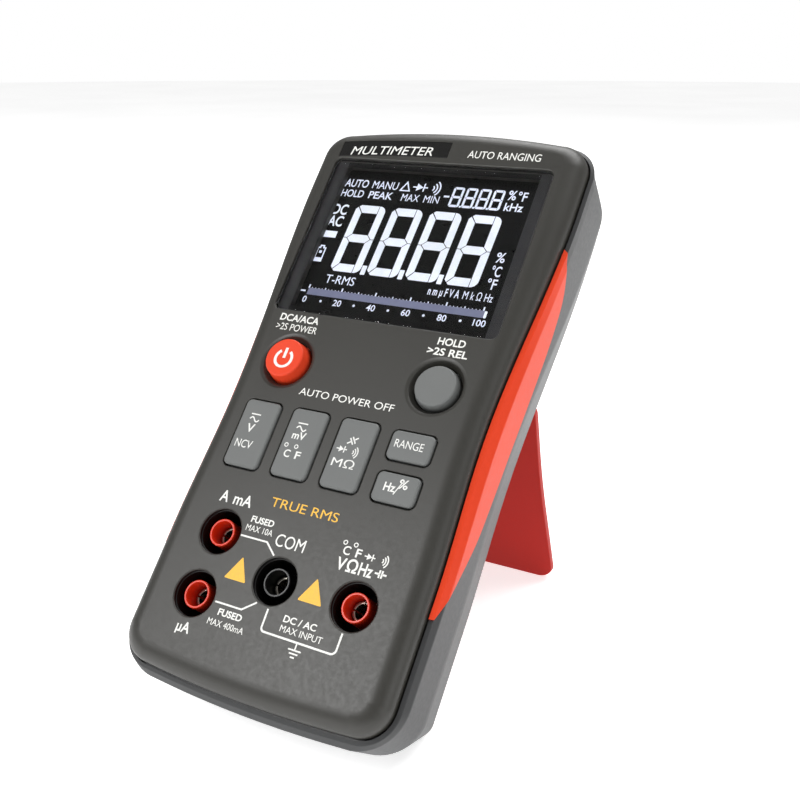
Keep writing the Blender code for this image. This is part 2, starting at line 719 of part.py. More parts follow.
def grip_outline(grow):
    """Leaf-shaped outline of a side grip as (y, z), from tip to tip."""
    rear = (
        (GRIP_TOP_RIDGE, RIDGE_Z),
        GRIP_UPPER,
        GRIP_SHOULDER,
        GRIP_BELLY,
        GRIP_LOWER,
        GRIP_TAIL,
        (GRIP_BOTTOM_RIDGE, RIDGE_Z),
    )
    points = [(GRIP_TOP_TIP + grow, WALL)]
    points.append((GRIP_TOP_TIP + grow, RIM_Z))
    for y, z in rear:
        side = 1.0 if y > 0.0 else -1.0
        points.append((y + side * grow, z - grow))
    points.append((GRIP_BOTTOM_TIP - grow, RIM_Z))
    points.append((GRIP_BOTTOM_TIP - grow, WALL))
    return points


def rear_shell():
    """Rear shell with battery bay, screw posts and the bearing of the stand."""
    rings = [
        at_level(outline(BACK, WALL), BACK_Z + WALL),
        at_level(outline(REAR, REAR_INNER), SIDE_Z),
        at_level(outline(FRONT, TONGUE_IN), SHOULDER_Z, HEAD_SINK),
        at_level(outline(FRONT, TONGUE_IN), TONGUE_Z, HEAD_SINK),
        at_level(outline(FRONT, TONGUE_OUT), TONGUE_Z, HEAD_SINK),
        at_level(outline(FRONT, TONGUE_OUT), LIP_Z - GAP, HEAD_SINK),
        at_level(outline(FRONT, -GROOVE), LIP_Z - GAP, HEAD_SINK),
        at_level(outline(FRONT, -GROOVE), RIM_Z, HEAD_SINK),
        at_level(outline(FRONT, -GROOVE - BEVEL_OUT), BEVEL_Z, HEAD_SINK),
        at_level(outline(REAR, 0.0), RIDGE_Z, RIDGE_SINK),
        at_level(outline(REAR, SIDE_DRAFT), SIDE_Z, SIDE_SINK),
        at_level(outline(BACK, 0.0), BACK_Z),
    ]
    shell = part("rear_case", loft(bmesh.new(), rings), rear_mat)

    bay_y = BAY_HALF_Y
    bay_top = BAY_Z + CELL_R + GAP
    inside = BACK_Z + WALL / 2.0
    bay_block = box(
        -BAY_HALF_X - BAY_WALL, BAY_HALF_X + BAY_WALL,
        BAY_Y - bay_y - BAY_WALL, BAY_Y + bay_y + BAY_WALL,
        inside, bay_top + BAY_WALL)
    join(shell, cutter("bay_block", bay_block))
    rim = DOOR_RIM + GAP
    rim_block = box(
        -DOOR_HALF_X - rim, DOOR_HALF_X + rim,
        DOOR_BOTTOM - rim, DOOR_TOP + rim,
        inside, DOOR_RIM_Z)
    join(shell, cutter("door_rim_block", rim_block))
    door_post = turned(0.0, DOOR_SCREW_Y, [(DOOR_POST_R, inside), (DOOR_POST_R, DOOR_TIP_Z + WALL)])
    join(shell, cutter("door_post", door_post))
    housing = box(
        -HOUSING_HALF_X, HOUSING_HALF_X,
        HINGE_Y - HOUSING_HALF_Y, HINGE_Y + HOUSING_HALF_Y,
        inside, HOUSING_Z)
    join(shell, cutter("hinge_housing", housing))
    for k, (x, y) in enumerate(case_screws):
        top = BOARD_BOTTOM - BOSS_TIP - GAP
        post = turned(x, y, [(CASE_POST_R, inside), (CASE_POST_R, top)], FINE_SEGMENTS)
        join(shell, cutter("case_post_%d" % k, post))

    bay = box(-BAY_HALF_X, BAY_HALF_X, BAY_Y - bay_y, BAY_Y + bay_y, BACK_Z - WALL, bay_top)
    cut(shell, cutter("bay_cut", bay))
    rebate = door_outline(GAP)
    rebate_z = BACK_Z + DOOR_T + GAP
    cut(shell, cutter("door_rebate", prism(rebate, BACK_Z - WALL, rebate_z)))
    pocket_z = BACK_Z + DOOR_BOSS_T + GAP
    r = DOOR_BOSS_R + GAP
    pocket = turned(0.0, DOOR_SCREW_Y, [(r, BACK_Z - WALL), (r, pocket_z)])
    cut(shell, cutter("door_boss_pocket", pocket))
    r = DOOR_SHAFT_R + GAP
    bore = turned(0.0, DOOR_SCREW_Y, [(r, pocket_z - WALL), (r, DOOR_TIP_Z + GAP)], FINE_SEGMENTS)
    cut(shell, cutter("door_screw_bore", bore))
    for k, (x, y) in enumerate(case_screws):
        r = CASE_HEAD_R + GAP
        seat = turned(x, y, [(r, BACK_Z - WALL), (r, CASE_SEAT_Z)], FINE_SEGMENTS)
        cut(shell, cutter("case_seat_%d" % k, seat))
        r = CASE_SHAFT_R + GAP
        bore = turned(x, y, [(r, CASE_SEAT_Z - WALL), (r, SIDE_Z + WALL)], FINE_SEGMENTS)
        cut(shell, cutter("case_bore_%d" % k, bore))
    half = KNUCKLE_HALF + GAP
    r = KNUCKLE_R + SLIDE_GAP
    trough = turned_across(HINGE_Y, HINGE_Z, [(r, -half), (r, half)], ROUND_SEGMENTS)
    cut(shell, cutter("knuckle_trough", trough))
    half = PIN_HALF + GAP
    r = PIN_R + GAP
    cut(shell, cutter("pin_bore", turned_across(HINGE_Y, HINGE_Z, [(r, -half), (r, half)])))

    low = [tilted(-FAR, GROUND), tilted(FAR, GROUND), tilted(FAR, -FAR), tilted(-FAR, -FAR)]
    cut(shell, cutter("rest_flat", slab_across(low, -FAR, FAR)))

    for name, side in (("left", -1.0), ("right", 1.0)):
        pocket = cutter("grip_pocket_" + name, grip_blank(side, GAP))
        floor = cutter("grip_floor_" + name, rear_skin(-GRIP_DEPTH - GAP))
        core = cutter("pocket_core_" + name, prism(outline(FRONT, TINY - GROOVE), -FAR, FAR))
        cut(pocket, floor)
        cut(pocket, core)
        cut(shell, pocket)
    return shell


def grip_blank(side, grow):
    """Leaf-shaped prism that reaches in from one side of the case."""
    ends = (side * WAIST_HALF / 2.0, side * FAR)
    return slab_across(grip_outline(grow), min(ends), max(ends))


def side_grip(name, side):
    """Leaf-shaped inlay that wraps the rim, the ridge and the side of the rear shell."""
    grip = part("grip_" + name, grip_blank(side, 0.0), grip_mat)
    outer = cutter("grip_outer_" + name, rear_skin(GRIP_PROUD))
    inner = cutter("grip_inner_" + name, rear_skin(-GRIP_DEPTH))
    core = cutter("grip_core_" + name, prism(outline(FRONT, -GROOVE), -FAR, FAR))
    combine(grip, outer, "INTERSECT")
    cut(grip, inner)
    cut(grip, core)
    return grip


def door_outline(grow):
    """Battery door outline."""
    height = DOOR_TOP - DOOR_BOTTOM + 2.0 * grow
    middle = (DOOR_TOP + DOOR_BOTTOM) / 2.0
    return rounded_rect(0.0, middle, 2.0 * (DOOR_HALF_X + grow), height, DOOR_R + grow)


# ================================================================ keys
def key_rings(x, y, width, height, radius, proud):
    """Skin of a rectangular key with a soft top edge, a flange under the face and a stem."""
    w2 = width + 2.0 * KEY_FLANGE
    h2 = height + 2.0 * KEY_FLANGE
    under = -WALL - SLIDE_GAP
    low = under - KEY_FLANGE_T
    top_w = width - 2.0 * KEY_BEVEL
    top_h = height - 2.0 * KEY_BEVEL
    stem = 2.0 * STEM_R
    return [
        at_level(rounded_rect(x, y, stem, stem, STEM_R - TINY), STEM_END),
        at_level(rounded_rect(x, y, stem, stem, STEM_R - TINY), low),
        at_level(rounded_rect(x, y, w2, h2, radius), low),
        at_level(rounded_rect(x, y, w2, h2, radius), under),
        at_level(rounded_rect(x, y, width, height, radius), under),
        at_level(rounded_rect(x, y, width, height, radius), proud - KEY_BEVEL),
        at_level(rounded_rect(x, y, top_w, top_h, radius - KEY_BEVEL / 2.0), proud),
    ]


def square_key(name, place):
    """One of the five rectangular keys."""
    x, y, width, height = place
    rings = key_rings(x, y, width, height, KEY_R, KEY_PROUD)
    return part(name, loft(bmesh.new(), rings), key_mat, (x, y, KEY_PROUD))


def round_key(name, side, proud, mat):
    """Round key in its dish."""
    x = side * ROUND_X
    under = DISH_PAD_Z - SLIDE_GAP
    flange = ROUND_BASE_R + KEY_FLANGE
    profile = [
        (STEM_R, STEM_END),
        (STEM_R, under - KEY_FLANGE_T),
        (flange, under - KEY_FLANGE_T),
        (flange, under),
        (ROUND_BASE_R, under),
        (ROUND_BASE_R, DISH_Z),
        (ROUND_TOP_R + KEY_BEVEL / 2.0, proud - KEY_BEVEL),
        (ROUND_TOP_R, proud - KEY_BEVEL / 4.0),
        (ROUND_TOP_R - KEY_BEVEL, proud),
    ]
    return part(name, turned(x, ROUND_Y, profile), mat, (x, ROUND_Y, proud))


def tact_switch(name, x, y):
    """Switch on the board under a key."""
    low = BOARD_TOP + GAP
    body = rounded_rect(x, y, SWITCH_W, SWITCH_W, GAP)
    stub = rounded_rect(x, y, 2.0 * PLUNGER_R, 2.0 * PLUNGER_R, PLUNGER_R - TINY)
    rings = [
        at_level(body, low),
        at_level(body, low + SWITCH_H),
        at_level(stub, low + SWITCH_H),
        at_level(stub, low + SWITCH_H + PLUNGER_H),
    ]
    return part(name, loft(bmesh.new(), rings), switch_mat, (x, y, low))


# ================================================================ jacks
def jack(name, x, y, mat):
    """Insulating collar and the split metal sleeve inside it."""
    foot_top = WELL_Z - WELL_FLOOR - GAP
    foot_low = BOARD_TOP + GAP
    collar = tube(x, y, [
        (COLLAR_BORE, foot_low),
        (COLLAR_FOOT_R, foot_low),
        (COLLAR_FOOT_R, foot_top),
        (COLLAR_R, foot_top),
        (COLLAR_R, COLLAR_Z - COLLAR_ROUND),
        (COLLAR_R - COLLAR_ROUND, COLLAR_Z),
        (COLLAR_BORE, COLLAR_Z),
    ])
    part("jack_collar_" + name, collar, mat, (x, y, COLLAR_Z))
    foot = BOARD_BOTTOM - GAP
    sleeve = tube(x, y, [
        (SLEEVE_BORE, foot - SLEEVE_FOOT_T),
        (SLEEVE_FOOT_R, foot - SLEEVE_FOOT_T),
        (SLEEVE_FOOT_R, foot),
        (SLEEVE_R, foot),
        (SLEEVE_R, SLEEVE_Z),
        (SLEEVE_BORE + COLLAR_ROUND, SLEEVE_Z),
        (SLEEVE_BORE, SLEEVE_Z - 2.0 * COLLAR_ROUND),
    ], FINE_SEGMENTS)
    barrel = part("jack_sleeve_" + name, sleeve, metal_mat, (x, y, SLEEVE_Z))
    slit_low = SLEEVE_Z - SLEEVE_SLIT_DEPTH
    slit = box(x - SLEEVE_SLIT / 2.0, x + SLEEVE_SLIT / 2.0, y - WALL * 2.0, y + WALL * 2.0,
               slit_low, SLEEVE_Z + WALL)
    cut(barrel, cutter("slit_" + name, slit))


# ================================================================ display stack
def display():
    """Lens, liquid-crystal panel, backlight and the carrier that holds them."""
    w = WINDOW_W - 2.0 * GAP
    h = WINDOW_H - 2.0 * GAP
    top = -LENS_SINK
    outer = rounded_rect(0.0, WINDOW_Y, w, h, WINDOW_R - GAP)
    crest = rounded_rect(0.0, WINDOW_Y, w - GAP, h - GAP, WINDOW_R - GAP)
    rings = [at_level(outer, top - LENS_T), at_level(outer, top - GAP / 2.0), at_level(crest, top)]
    part("display_lens", loft(bmesh.new(), rings), lens_mat, (0.0, WINDOW_Y, top))

    panel_top = LEDGE_Z - GAP
    panel_low = panel_top - LCD_T
    panel = rounded_rect(0.0, WINDOW_Y, LCD_W, LCD_H, GAP)
    part("lcd_panel", prism(panel, panel_low, panel_top), lcd_mat, (0.0, WINDOW_Y, panel_top))
    light_top = panel_low - GAP
    light_low = light_top - BACKLIGHT_T
    part("backlight", prism(panel, light_low, light_top), backlight_mat, (0.0, WINDOW_Y, light_top))

    inner_w = LCD_W + 2.0 * GAP
    inner_h = LCD_H + 2.0 * GAP
    outer_w = inner_w + 2.0 * CARRIER_WALL
    outer_h = inner_h + 2.0 * CARRIER_WALL
    low = BOARD_TOP + GAP
    outside = rounded_rect(0.0, WINDOW_Y, outer_w, outer_h, CARRIER_WALL)
    carrier = part("display_carrier", prism(outside, low, panel_top), carrier_mat)
    seat = light_low - GAP
    hollow = rounded_rect(0.0, WINDOW_Y, inner_w, inner_h, GAP)
    cut(carrier, cutter("carrier_hollow", prism(hollow, seat, WALL)))
    open_w = inner_w - 2.0 * CARRIER_SHELF
    open_h = inner_h - 2.0 * CARRIER_SHELF
    passage = rounded_rect(0.0, WINDOW_Y, open_w, open_h, GAP)
    cut(carrier, cutter("carrier_passage", prism(passage, low - WALL, seat + WALL)))
    below = prism(hollow, low - WALL, seat - CARRIER_SHELF_T)
    cut(carrier, cutter("carrier_below", below))


# ================================================================ board and its parts
def board():
    """Circuit board with clearance for bosses and jack sleeves."""
    c = BOARD_CUT
    x = BOARD_HALF
    points = [
        (-x + c, BOARD_Y0), (x - c, BOARD_Y0), (x, BOARD_Y0 + c), (x, BOARD_Y1 - c),
        (x - c, BOARD_Y1), (-x + c, BOARD_Y1), (-x, BOARD_Y1 - c), (-x, BOARD_Y0 + c),
    ]
    pcb = part("circuit_board", prism(points, BOARD_BOTTOM, BOARD_TOP), board_mat)
    holes = [(x, y, CASE_BOSS_R + GAP) for x, y in case_screws]
    holes += [(x, y, BOARD_SHAFT_R + GAP) for x, y in board_screws]
    holes += [(x, y, SLEEVE_R + GAP) for x, y in jacks.values()]
    for k, (x, y, r) in enumerate(holes):
        low = BOARD_BOTTOM - WALL
        hole = turned(x, y, [(r, low), (r, BOARD_TOP + WALL)], FINE_SEGMENTS)
        cut(pcb, cutter("board_hole_%d" % k, hole))


def fuse(name, x, y, radius, length):
    """Ceramic fuse with its two end caps drawn as one stepped cylinder, and its clips."""
    z = BOARD_BOTTOM - GAP - CLIP_T - FUSE_LIFT - radius
    half = length / 2.0
    neck = radius - FUSE_NECK
    profile = [
        (neck, x - half),
        (radius, x - half + FUSE_NECK),
        (radius, x - half + FUSE_CAP_L),
        (neck, x - half + FUSE_CAP_L),
        (neck, x + half - FUSE_CAP_L),
        (radius, x + half - FUSE_CAP_L),
        (radius, x + half - FUSE_NECK),
        (neck, x + half),
    ]
    part("fuse_" + name, turned_across(y, z, profile), ceramic_mat, (x, y, z))
    arm = radius + GAP
    top = BOARD_BOTTOM - GAP
    low = z - radius / 2.0
    points = [
        (y - arm - CLIP_T, top), (y - arm - CLIP_T, low), (y - arm, low), (y - arm, top - CLIP_T),
        (y + arm, top - CLIP_T), (y + arm, low), (y + arm + CLIP_T, low), (y + arm + CLIP_T, top),
    ]
    for label, side in (("a", -1.0), ("b", 1.0)):
        middle = x + side * (half - FUSE_CAP_L / 2.0)
        clip = slab_across(points, middle - CLIP_L / 2.0, middle + CLIP_L / 2.0)
        part("fuse_clip_%s_%s" % (name, label), clip, metal_mat, (middle, y, top))


def board_parts():
    """Buzzer, main chip and the sensing strip at the head of the board."""
    top = BOARD_BOTTOM - GAP
    x, y = BUZZER_XY
    buzzer = turned(x, y, [(BUZZER_R, top - BUZZER_H), (BUZZER_R, top)])
    body = part("buzzer", buzzer, buzzer_mat, (x, y, top))
    low = top - BUZZER_H
    port = turned(x, y, [(BUZZER_HOLE, low - WALL), (BUZZER_HOLE, low + WALL)], FINE_SEGMENTS)
    cut(body, cutter("buzzer_port", port))
    x, y = CHIP_XY
    chip = rounded_rect(x, y, CHIP_W, CHIP_W, GAP)
    part("main_chip", prism(chip, top - CHIP_T, top), chip_mat, (x, y, top))
    low = BOARD_TOP + GAP
    back = BOARD_Y1 - GAP
    strip = box(-ANTENNA_W / 2.0, ANTENNA_W / 2.0, back - ANTENNA_T, back, low, low + ANTENNA_H)
    part("field_antenna", strip, copper_mat, (0.0, back, low))


# ================================================================ screws
def screw(name, x, y, head_z, head_r, head_t, shaft_r, tip_z):
    """Screw driven in from the back: head_z is the bearing face of the head."""
    profile = [
        (head_r - GAP, head_z - head_t),
        (head_r, head_z - head_t + GAP),
        (head_r, head_z),
        (shaft_r, head_z),
        (shaft_r, tip_z - shaft_r),
        (shaft_r / 3.0, tip_z),
    ]
    body = part(name, turned(x, y, profile, FINE_SEGMENTS), steel_mat, (x, y, head_z))
    low = head_z - head_t
    for k, (w, h) in enumerate(((DRIVE_L, DRIVE_W), (DRIVE_W, DRIVE_L))):
        slot = box(x - w / 2.0, x + w / 2.0, y - h / 2.0, y + h / 2.0,
                   low - WALL, low + DRIVE_DEPTH)
        cut(body, cutter("%s_slot_%d" % (name, k), slot))


# ================================================================ battery bay
def batteries():
    """Two cells, their contacts, the door and its screw."""
    for k, side in enumerate((-1.0, 1.0)):
        y = BAY_Y + side * CELL_PITCH / 2.0
        half = CELL_L / 2.0
        profile = [
            (CELL_R - GAP, -side * half),
            (CELL_R, -side * (half - GAP)),
            (CELL_R, side * (half - GAP)),
            (CELL_R - GAP, side * half),
            (NIPPLE_R, side * half),
            (NIPPLE_R, side * (half + NIPPLE_L)),
        ]
        part("battery_%d" % (k + 1), turned_across(y, BAY_Z, profile), cell_mat, (0.0, y, BAY_Z))
    top = BAY_Z + CONTACT_H / 2.0
    low = BAY_Z - CONTACT_H / 2.0
    for label, side in (("left", -1.0), ("right", 1.0)):
        outer = side * (BAY_HALF_X - GAP)
        inner = outer - side * CONTACT_T
        y0 = BAY_Y - (CELL_PITCH + CONTACT_W) / 2.0
        y1 = BAY_Y + (CELL_PITCH + CONTACT_W) / 2.0
        plate = box(min(outer, inner), max(outer, inner), y0, y1, low, top)
        contact = part("battery_contact_" + label, plate, metal_mat, (outer, BAY_Y, BAY_Z))
        spring_y = BAY_Y + side * -CELL_PITCH / 2.0
        reach = side * (CELL_L / 2.0 + GAP)
        bump = turned_across(spring_y, BAY_Z, [
            (CONTACT_BUMP_R, outer - side * CONTACT_T / 2.0),
            (CONTACT_BUMP_R / 2.0, reach),
        ])
        join(contact, cutter("spring_" + label, bump))

    door = part("battery_door", prism(door_outline(0.0), BACK_Z, BACK_Z + DOOR_T), door_mat)
    boss = turned(0.0, DOOR_SCREW_Y, [
        (DOOR_BOSS_R, BACK_Z + DOOR_T / 2.0),
        (DOOR_BOSS_R, BACK_Z + DOOR_BOSS_T),
    ])
    join(door, cutter("door_boss", boss))
    seat_z = BACK_Z + DOOR_HEAD_T + 2.0 * GAP
    r = DOOR_HEAD_R + GAP
    seat = turned(0.0, DOOR_SCREW_Y, [(r, BACK_Z - WALL), (r, seat_z)])
    cut(door, cutter("door_seat", seat))
    r = DOOR_SHAFT_R + GAP
    hole = turned(0.0, DOOR_SCREW_Y, [(r, BACK_Z - WALL), (r, BACK_Z + 2.0 * DOOR_BOSS_T)])
    cut(door, cutter("door_hole", hole))
    screw("door_screw", 0.0, DOOR_SCREW_Y, seat_z - GAP, DOOR_HEAD_R, DOOR_HEAD_T,
          DOOR_SHAFT_R, DOOR_TIP_Z)


# ================================================================ kickstand
def swung(along, out):
    """Meter-frame (y, z) of a point on the open stand: along it, and out from the hinge."""
    y = HINGE_Y - along * math.cos(STAND_OPEN) + out * math.sin(STAND_OPEN)
    z = HINGE_Z - along * math.sin(STAND_OPEN) - out * math.cos(STAND_OPEN)
    return y, z


def stand_length(out):
    """Length of the stand to the floor at a given distance out from the hinge."""
    rise = height_of(HINGE_Y, HINGE_Z) - GROUND
    return (rise + out * math.sin(STAND_RAKE)) / math.cos(STAND_RAKE)


def kickstand():
    """Plate of the stand with its hinge barrel; the foot is cut level with the floor."""
    levels = []
    for out in (STAND_IN, STAND_IN + STAND_T):
        end = stand_length(out)
        plan = [
            (KNUCKLE_HALF, STAND_HEEL),
            (KNUCKLE_HALF, STAND_ROOT - STAND_CORNER),
            (KNUCKLE_HALF + STAND_CORNER / 2.0, STAND_ROOT - STAND_CORNER / 3.0),
            (STAND_HALF_TOP - STAND_CORNER, STAND_ROOT),
            (STAND_HALF_TOP, STAND_ROOT + STAND_CORNER),
            (STAND_HALF_MID, STAND_MID),
            (STAND_HALF_FOOT, end - STAND_CORNER),
            (STAND_HALF_FOOT - STAND_CORNER / 4.0, end - STAND_CORNER / 4.0),
            (STAND_HALF_FOOT - STAND_CORNER, end),
        ]
        ring = [(x,) + swung(along, out) for x, along in plan]
        ring += [(-x,) + swung(along, out) for x, along in reversed(plan)]
        levels.append(ring)
    origin = (0.0, HINGE_Y, HINGE_Z)
    stand = part("kickstand", loft(bmesh.new(), levels), stand_mat, origin)
    barrel = turned_across(HINGE_Y, HINGE_Z, [
        (KNUCKLE_R, -KNUCKLE_HALF),
        (KNUCKLE_R, KNUCKLE_HALF),
    ], ROUND_SEGMENTS)
    join(stand, cutter("stand_barrel", barrel))
    r = PIN_R + GAP
    reach = KNUCKLE_HALF + WALL
    cut(stand, cutter("stand_bore", turned_across(HINGE_Y, HINGE_Z, [(r, -reach), (r, reach)])))
    pin = turned_across(HINGE_Y, HINGE_Z, [(PIN_R, -PIN_HALF), (PIN_R, PIN_HALF)])
    part("hinge_pin", pin, steel_mat, origin)


# ================================================================ assembly
front_shell()
rear_shell()
side_grip("left", -1.0)
side_grip("right", 1.0)
part("name_plate", prism(name_plate_outline(0.0), -PLATE_T, 0.0), plate_mat)
display()

square_key("key_volts", tall_keys[0])
square_key("key_millivolts", tall_keys[1])
square_key("key_ohms", tall_keys[2])
square_key("key_range", small_keys[0])
square_key("key_hertz", small_keys[1])
round_key("key_power", -1.0, POWER_PROUD, power_mat)
round_key("key_hold", 1.0, HOLD_PROUD, key_mat)
for label, place in zip(("volts", "millivolts", "ohms", "range", "hertz"), tall_keys + small_keys):
    tact_switch("switch_" + label, place[0], place[1])
tact_switch("switch_power", -ROUND_X, ROUND_Y)
tact_switch("switch_hold", ROUND_X, ROUND_Y)

for label, (jack_x, jack_y) in jacks.items():
    jack(label, jack_x, jack_y, collar_black_mat if label == "com" else collar_red_mat)

board()
fuse("amp", 0.0, FUSE_BIG_Y, FUSE_BIG_R, FUSE_BIG_L)
fuse("micro", FUSE_SMALL_X, FUSE_SMALL_Y, FUSE_SMALL_R, FUSE_SMALL_L)
board_parts()
for index, (screw_x, screw_y) in enumerate(case_screws):
    screw("case_screw_%d" % (index + 1), screw_x, screw_y, CASE_SEAT_Z - GAP, CASE_HEAD_R,
          CASE_HEAD_T, CASE_SHAFT_R, CASE_TIP_Z)
for index, (screw_x, screw_y) in enumerate(board_screws):
    screw("board_screw_%d" % (index + 1), screw_x, screw_y, BOARD_BOTTOM - GAP, BOARD_HEAD_R,
          BOARD_HEAD_T, BOARD_SHAFT_R, BOARD_TIP_Z)
batteries()
kickstand()

# Lean the meter back and set it on the floor, centred over the origin.
frame.rotation_euler = (math.pi / 2.0 - LEAN, 0.0, 0.0)
bpy.context.view_layer.update()
depsgraph = bpy.context.evaluated_depsgraph_get()
lows = []
highs = []
for obj in parts.objects:
    if obj.type != "MESH":
        continue
    solid = obj.evaluated_get(depsgraph)
    spots = [obj.matrix_world @ v.co for v in solid.data.vertices]
    lows.append([min(p[k] for p in spots) for k in range(3)])
    highs.append([max(p[k] for p in spots) for k in range(3)])
centre = [(min(c[k] for c in lows) + max(c[k] for c in highs)) / 2.0 for k in range(2)]
floor_z = min(c[2] for c in lows)
frame.location = (-centre[0], -centre[1], -floor_z)
bpy.context.view_layer.update()
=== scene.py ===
"""Handheld digital multimeter leaning on its kickstand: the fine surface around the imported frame.

Lengths are millimetres in the meter's own frame: x to the right across the face, y up along the
face from the body centre, z out of the face with the flat of the face at z = 0.  Every finished
mesh is turned into the row frame, in metres, before it rides on its body.
"""

import json
import math

import bmesh
import bpy
from mathutils import Matrix, Vector


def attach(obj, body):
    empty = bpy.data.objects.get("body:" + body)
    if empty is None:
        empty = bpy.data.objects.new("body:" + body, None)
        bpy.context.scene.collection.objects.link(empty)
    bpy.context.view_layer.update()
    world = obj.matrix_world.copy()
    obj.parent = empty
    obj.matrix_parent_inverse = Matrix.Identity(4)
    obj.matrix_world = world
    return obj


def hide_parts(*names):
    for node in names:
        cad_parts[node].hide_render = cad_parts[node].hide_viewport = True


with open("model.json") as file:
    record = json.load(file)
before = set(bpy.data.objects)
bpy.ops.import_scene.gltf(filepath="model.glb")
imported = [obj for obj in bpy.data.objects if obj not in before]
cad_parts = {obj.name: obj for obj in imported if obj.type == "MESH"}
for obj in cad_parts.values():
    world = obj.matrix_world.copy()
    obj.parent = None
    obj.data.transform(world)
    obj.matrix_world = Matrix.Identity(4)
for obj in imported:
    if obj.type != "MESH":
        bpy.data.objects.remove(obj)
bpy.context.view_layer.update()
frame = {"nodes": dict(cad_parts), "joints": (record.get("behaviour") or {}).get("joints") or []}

MM = 0.001
HINGE_Y = 26.5
HINGE_Z = -37.4
KEY_BODY = "%s_body"

# ---------------------------------------------------------------- body outline, as in the frame
HEAD_HALF, WAIST_HALF, FOOT_HALF = 41.8, 37.9, 39.0
HEAD_Y, WAIST_Y, FOOT_Y = 62.0, -10.0, -48.0
FRONT_TOP, FRONT_BOTTOM = 83.4, -84.7
ARCH_REACH, TOP_ARCH, BOTTOM_ARCH = 35.0, 2.4, 1.6
FRONT_CORNER, REAR_CORNER = 8.5, 13.0
RIM_HEAD, RIM_WAIST, RIM_FOOT = 1.5, 2.9, 2.5      # rear shell past the front shell
RIM_TOP, RIM_BOTTOM = 2.2, 2.8
BACK_TUCK, BACK_TUCK_SIDE = 8.5, 6.4               # how far the back draws in
FRONT = {"halves": (HEAD_HALF, WAIST_HALF, FOOT_HALF), "top": FRONT_TOP,
         "bottom": FRONT_BOTTOM, "corner": FRONT_CORNER}
REAR = {"halves": (HEAD_HALF + RIM_HEAD, WAIST_HALF + RIM_WAIST, FOOT_HALF + RIM_FOOT),
        "top": FRONT_TOP + RIM_TOP, "bottom": FRONT_BOTTOM - RIM_BOTTOM, "corner": REAR_CORNER}
BACK = {"halves": tuple(half - BACK_TUCK_SIDE for half in REAR["halves"]),
        "top": REAR["top"] - BACK_TUCK, "bottom": REAR["bottom"] + BACK_TUCK,
        "corner": REAR_CORNER - BACK_TUCK}
SIDE_SPANS, END_SPANS, CORNER_SPANS = 44, 28, 14
WALL = 2.2
EDGE_ROLL, EDGE_DROP, EDGE_STEPS = 5.5, 4.2, 14
LIP_Z, GROOVE, RIM_Z = -6.1, 0.5, -5.0
BEVEL_OUT, BEVEL_Z, RIDGE_Z = 1.0, -5.4, -7.2
HEAD_SINK, RIDGE_SINK = 1.3, 2.2
SIDE_Z, SIDE_SINK, SIDE_DRAFT = -20.6, 4.0, 0.9
BACK_Z = -39.5
GAP = 0.3
TURN = 72                              # sides of a round piece

# ---------------------------------------------------------------- window, keys and sockets
WINDOW = (0.0, 44.35, 69.4, 52.4)
WINDOW_R = 2.2
LENS_TOP, LENS_LOW = -0.35, -1.95
PANEL_TOP = -4.3
LEDGE_Z = -4.0
TALL_KEYS = {
    "key_volts": (-24.0, -19.7, 10.95, 19.2),
    "key_millivolts": (-8.75, -19.7, 10.95, 19.2),
    "key_ohms": (6.5, -19.7, 10.95, 19.2),
    "key_range": (22.35, -14.5, 12.0, 7.8),
    "key_hertz": (22.35, -25.75, 12.0, 7.8),
}
KEY_PROUD, KEY_R, KEY_GAP = 0.7, 1.5, 0.4
ROUND_KEYS = {"key_power": (-22.9, 2.9, 2.1), "key_hold": (22.9, 2.9, 0.5)}
DISH_R, DISH_Z = 7.95, -1.6
SOCKETS = {"amp": (-21.7, -47.1), "micro": (-21.7, -63.9), "com": (-0.7, -55.4),
           "volt": (22.3, -55.8)}
WELL_R, WELL_Z = 6.05, -13.0
COLLAR_R, COLLAR_BORE, COLLAR_Z = 3.7, 3.1, -1.0
SLEEVE_R, SLEEVE_BORE, SLEEVE_Z = 2.75, 2.05, -5.5
BOARD_TOP, BOARD_BOTTOM = -16.2, -17.8
CASE_SCREW_X, CASE_SCREW_YS = 27.0, (12.8, -74.0)
CASE_SCREWS = [(side * CASE_SCREW_X, y) for y in CASE_SCREW_YS for side in (-1, 1)]
GLASS_W, GLASS_H = 65.0, 50.6


# ================================================================ frame of the meter
def meter_matrix():
    """Turns meter-frame millimetres into the row frame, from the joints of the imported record."""
    hinge = next(j for j in frame["joints"] if j["type"] == "hinge")
    press = next(j for j in frame["joints"] if j["type"] == "slide")
    across = Vector((1.0, 0.0, 0.0))
    out = -Vector(press["axis"]).normalized()
    up = out.cross(across)
    turn = Matrix((across, up, out)).transposed()
    corner = Vector(hinge["pos_m"]) - turn @ Vector((0.0, HINGE_Y, HINGE_Z)) * MM
    return Matrix.Translation(corner) @ turn.to_4x4() @ Matrix.Scale(MM, 4)


METER = meter_matrix()
LEAN = math.atan2(METER[1][1], METER[2][1])
GROUND = -METER[2][3] / MM


# ================================================================ outlines
def ease(t):
    t = min(1.0, max(0.0, t))
    return t * t * (3.0 - 2.0 * t)


def half_width(shell, y):
    """Half width of a shell at height y: wide head, narrow waist, slightly wider foot."""
    head, waist, foot = shell["halves"]
    if y > WAIST_Y:
        return waist + (head - waist) * ease((y - WAIST_Y) / (HEAD_Y - WAIST_Y))
    return waist + (foot - waist) * ease((WAIST_Y - y) / (WAIST_Y - FOOT_Y))


def end_height(shell, x, upper):
    """Height of the arched top or bottom end at x."""
    bend = (x / ARCH_REACH) ** 2
    if upper:
        return shell["top"] - TOP_ARCH * bend
    return shell["bottom"] + BOTTOM_ARCH * bend


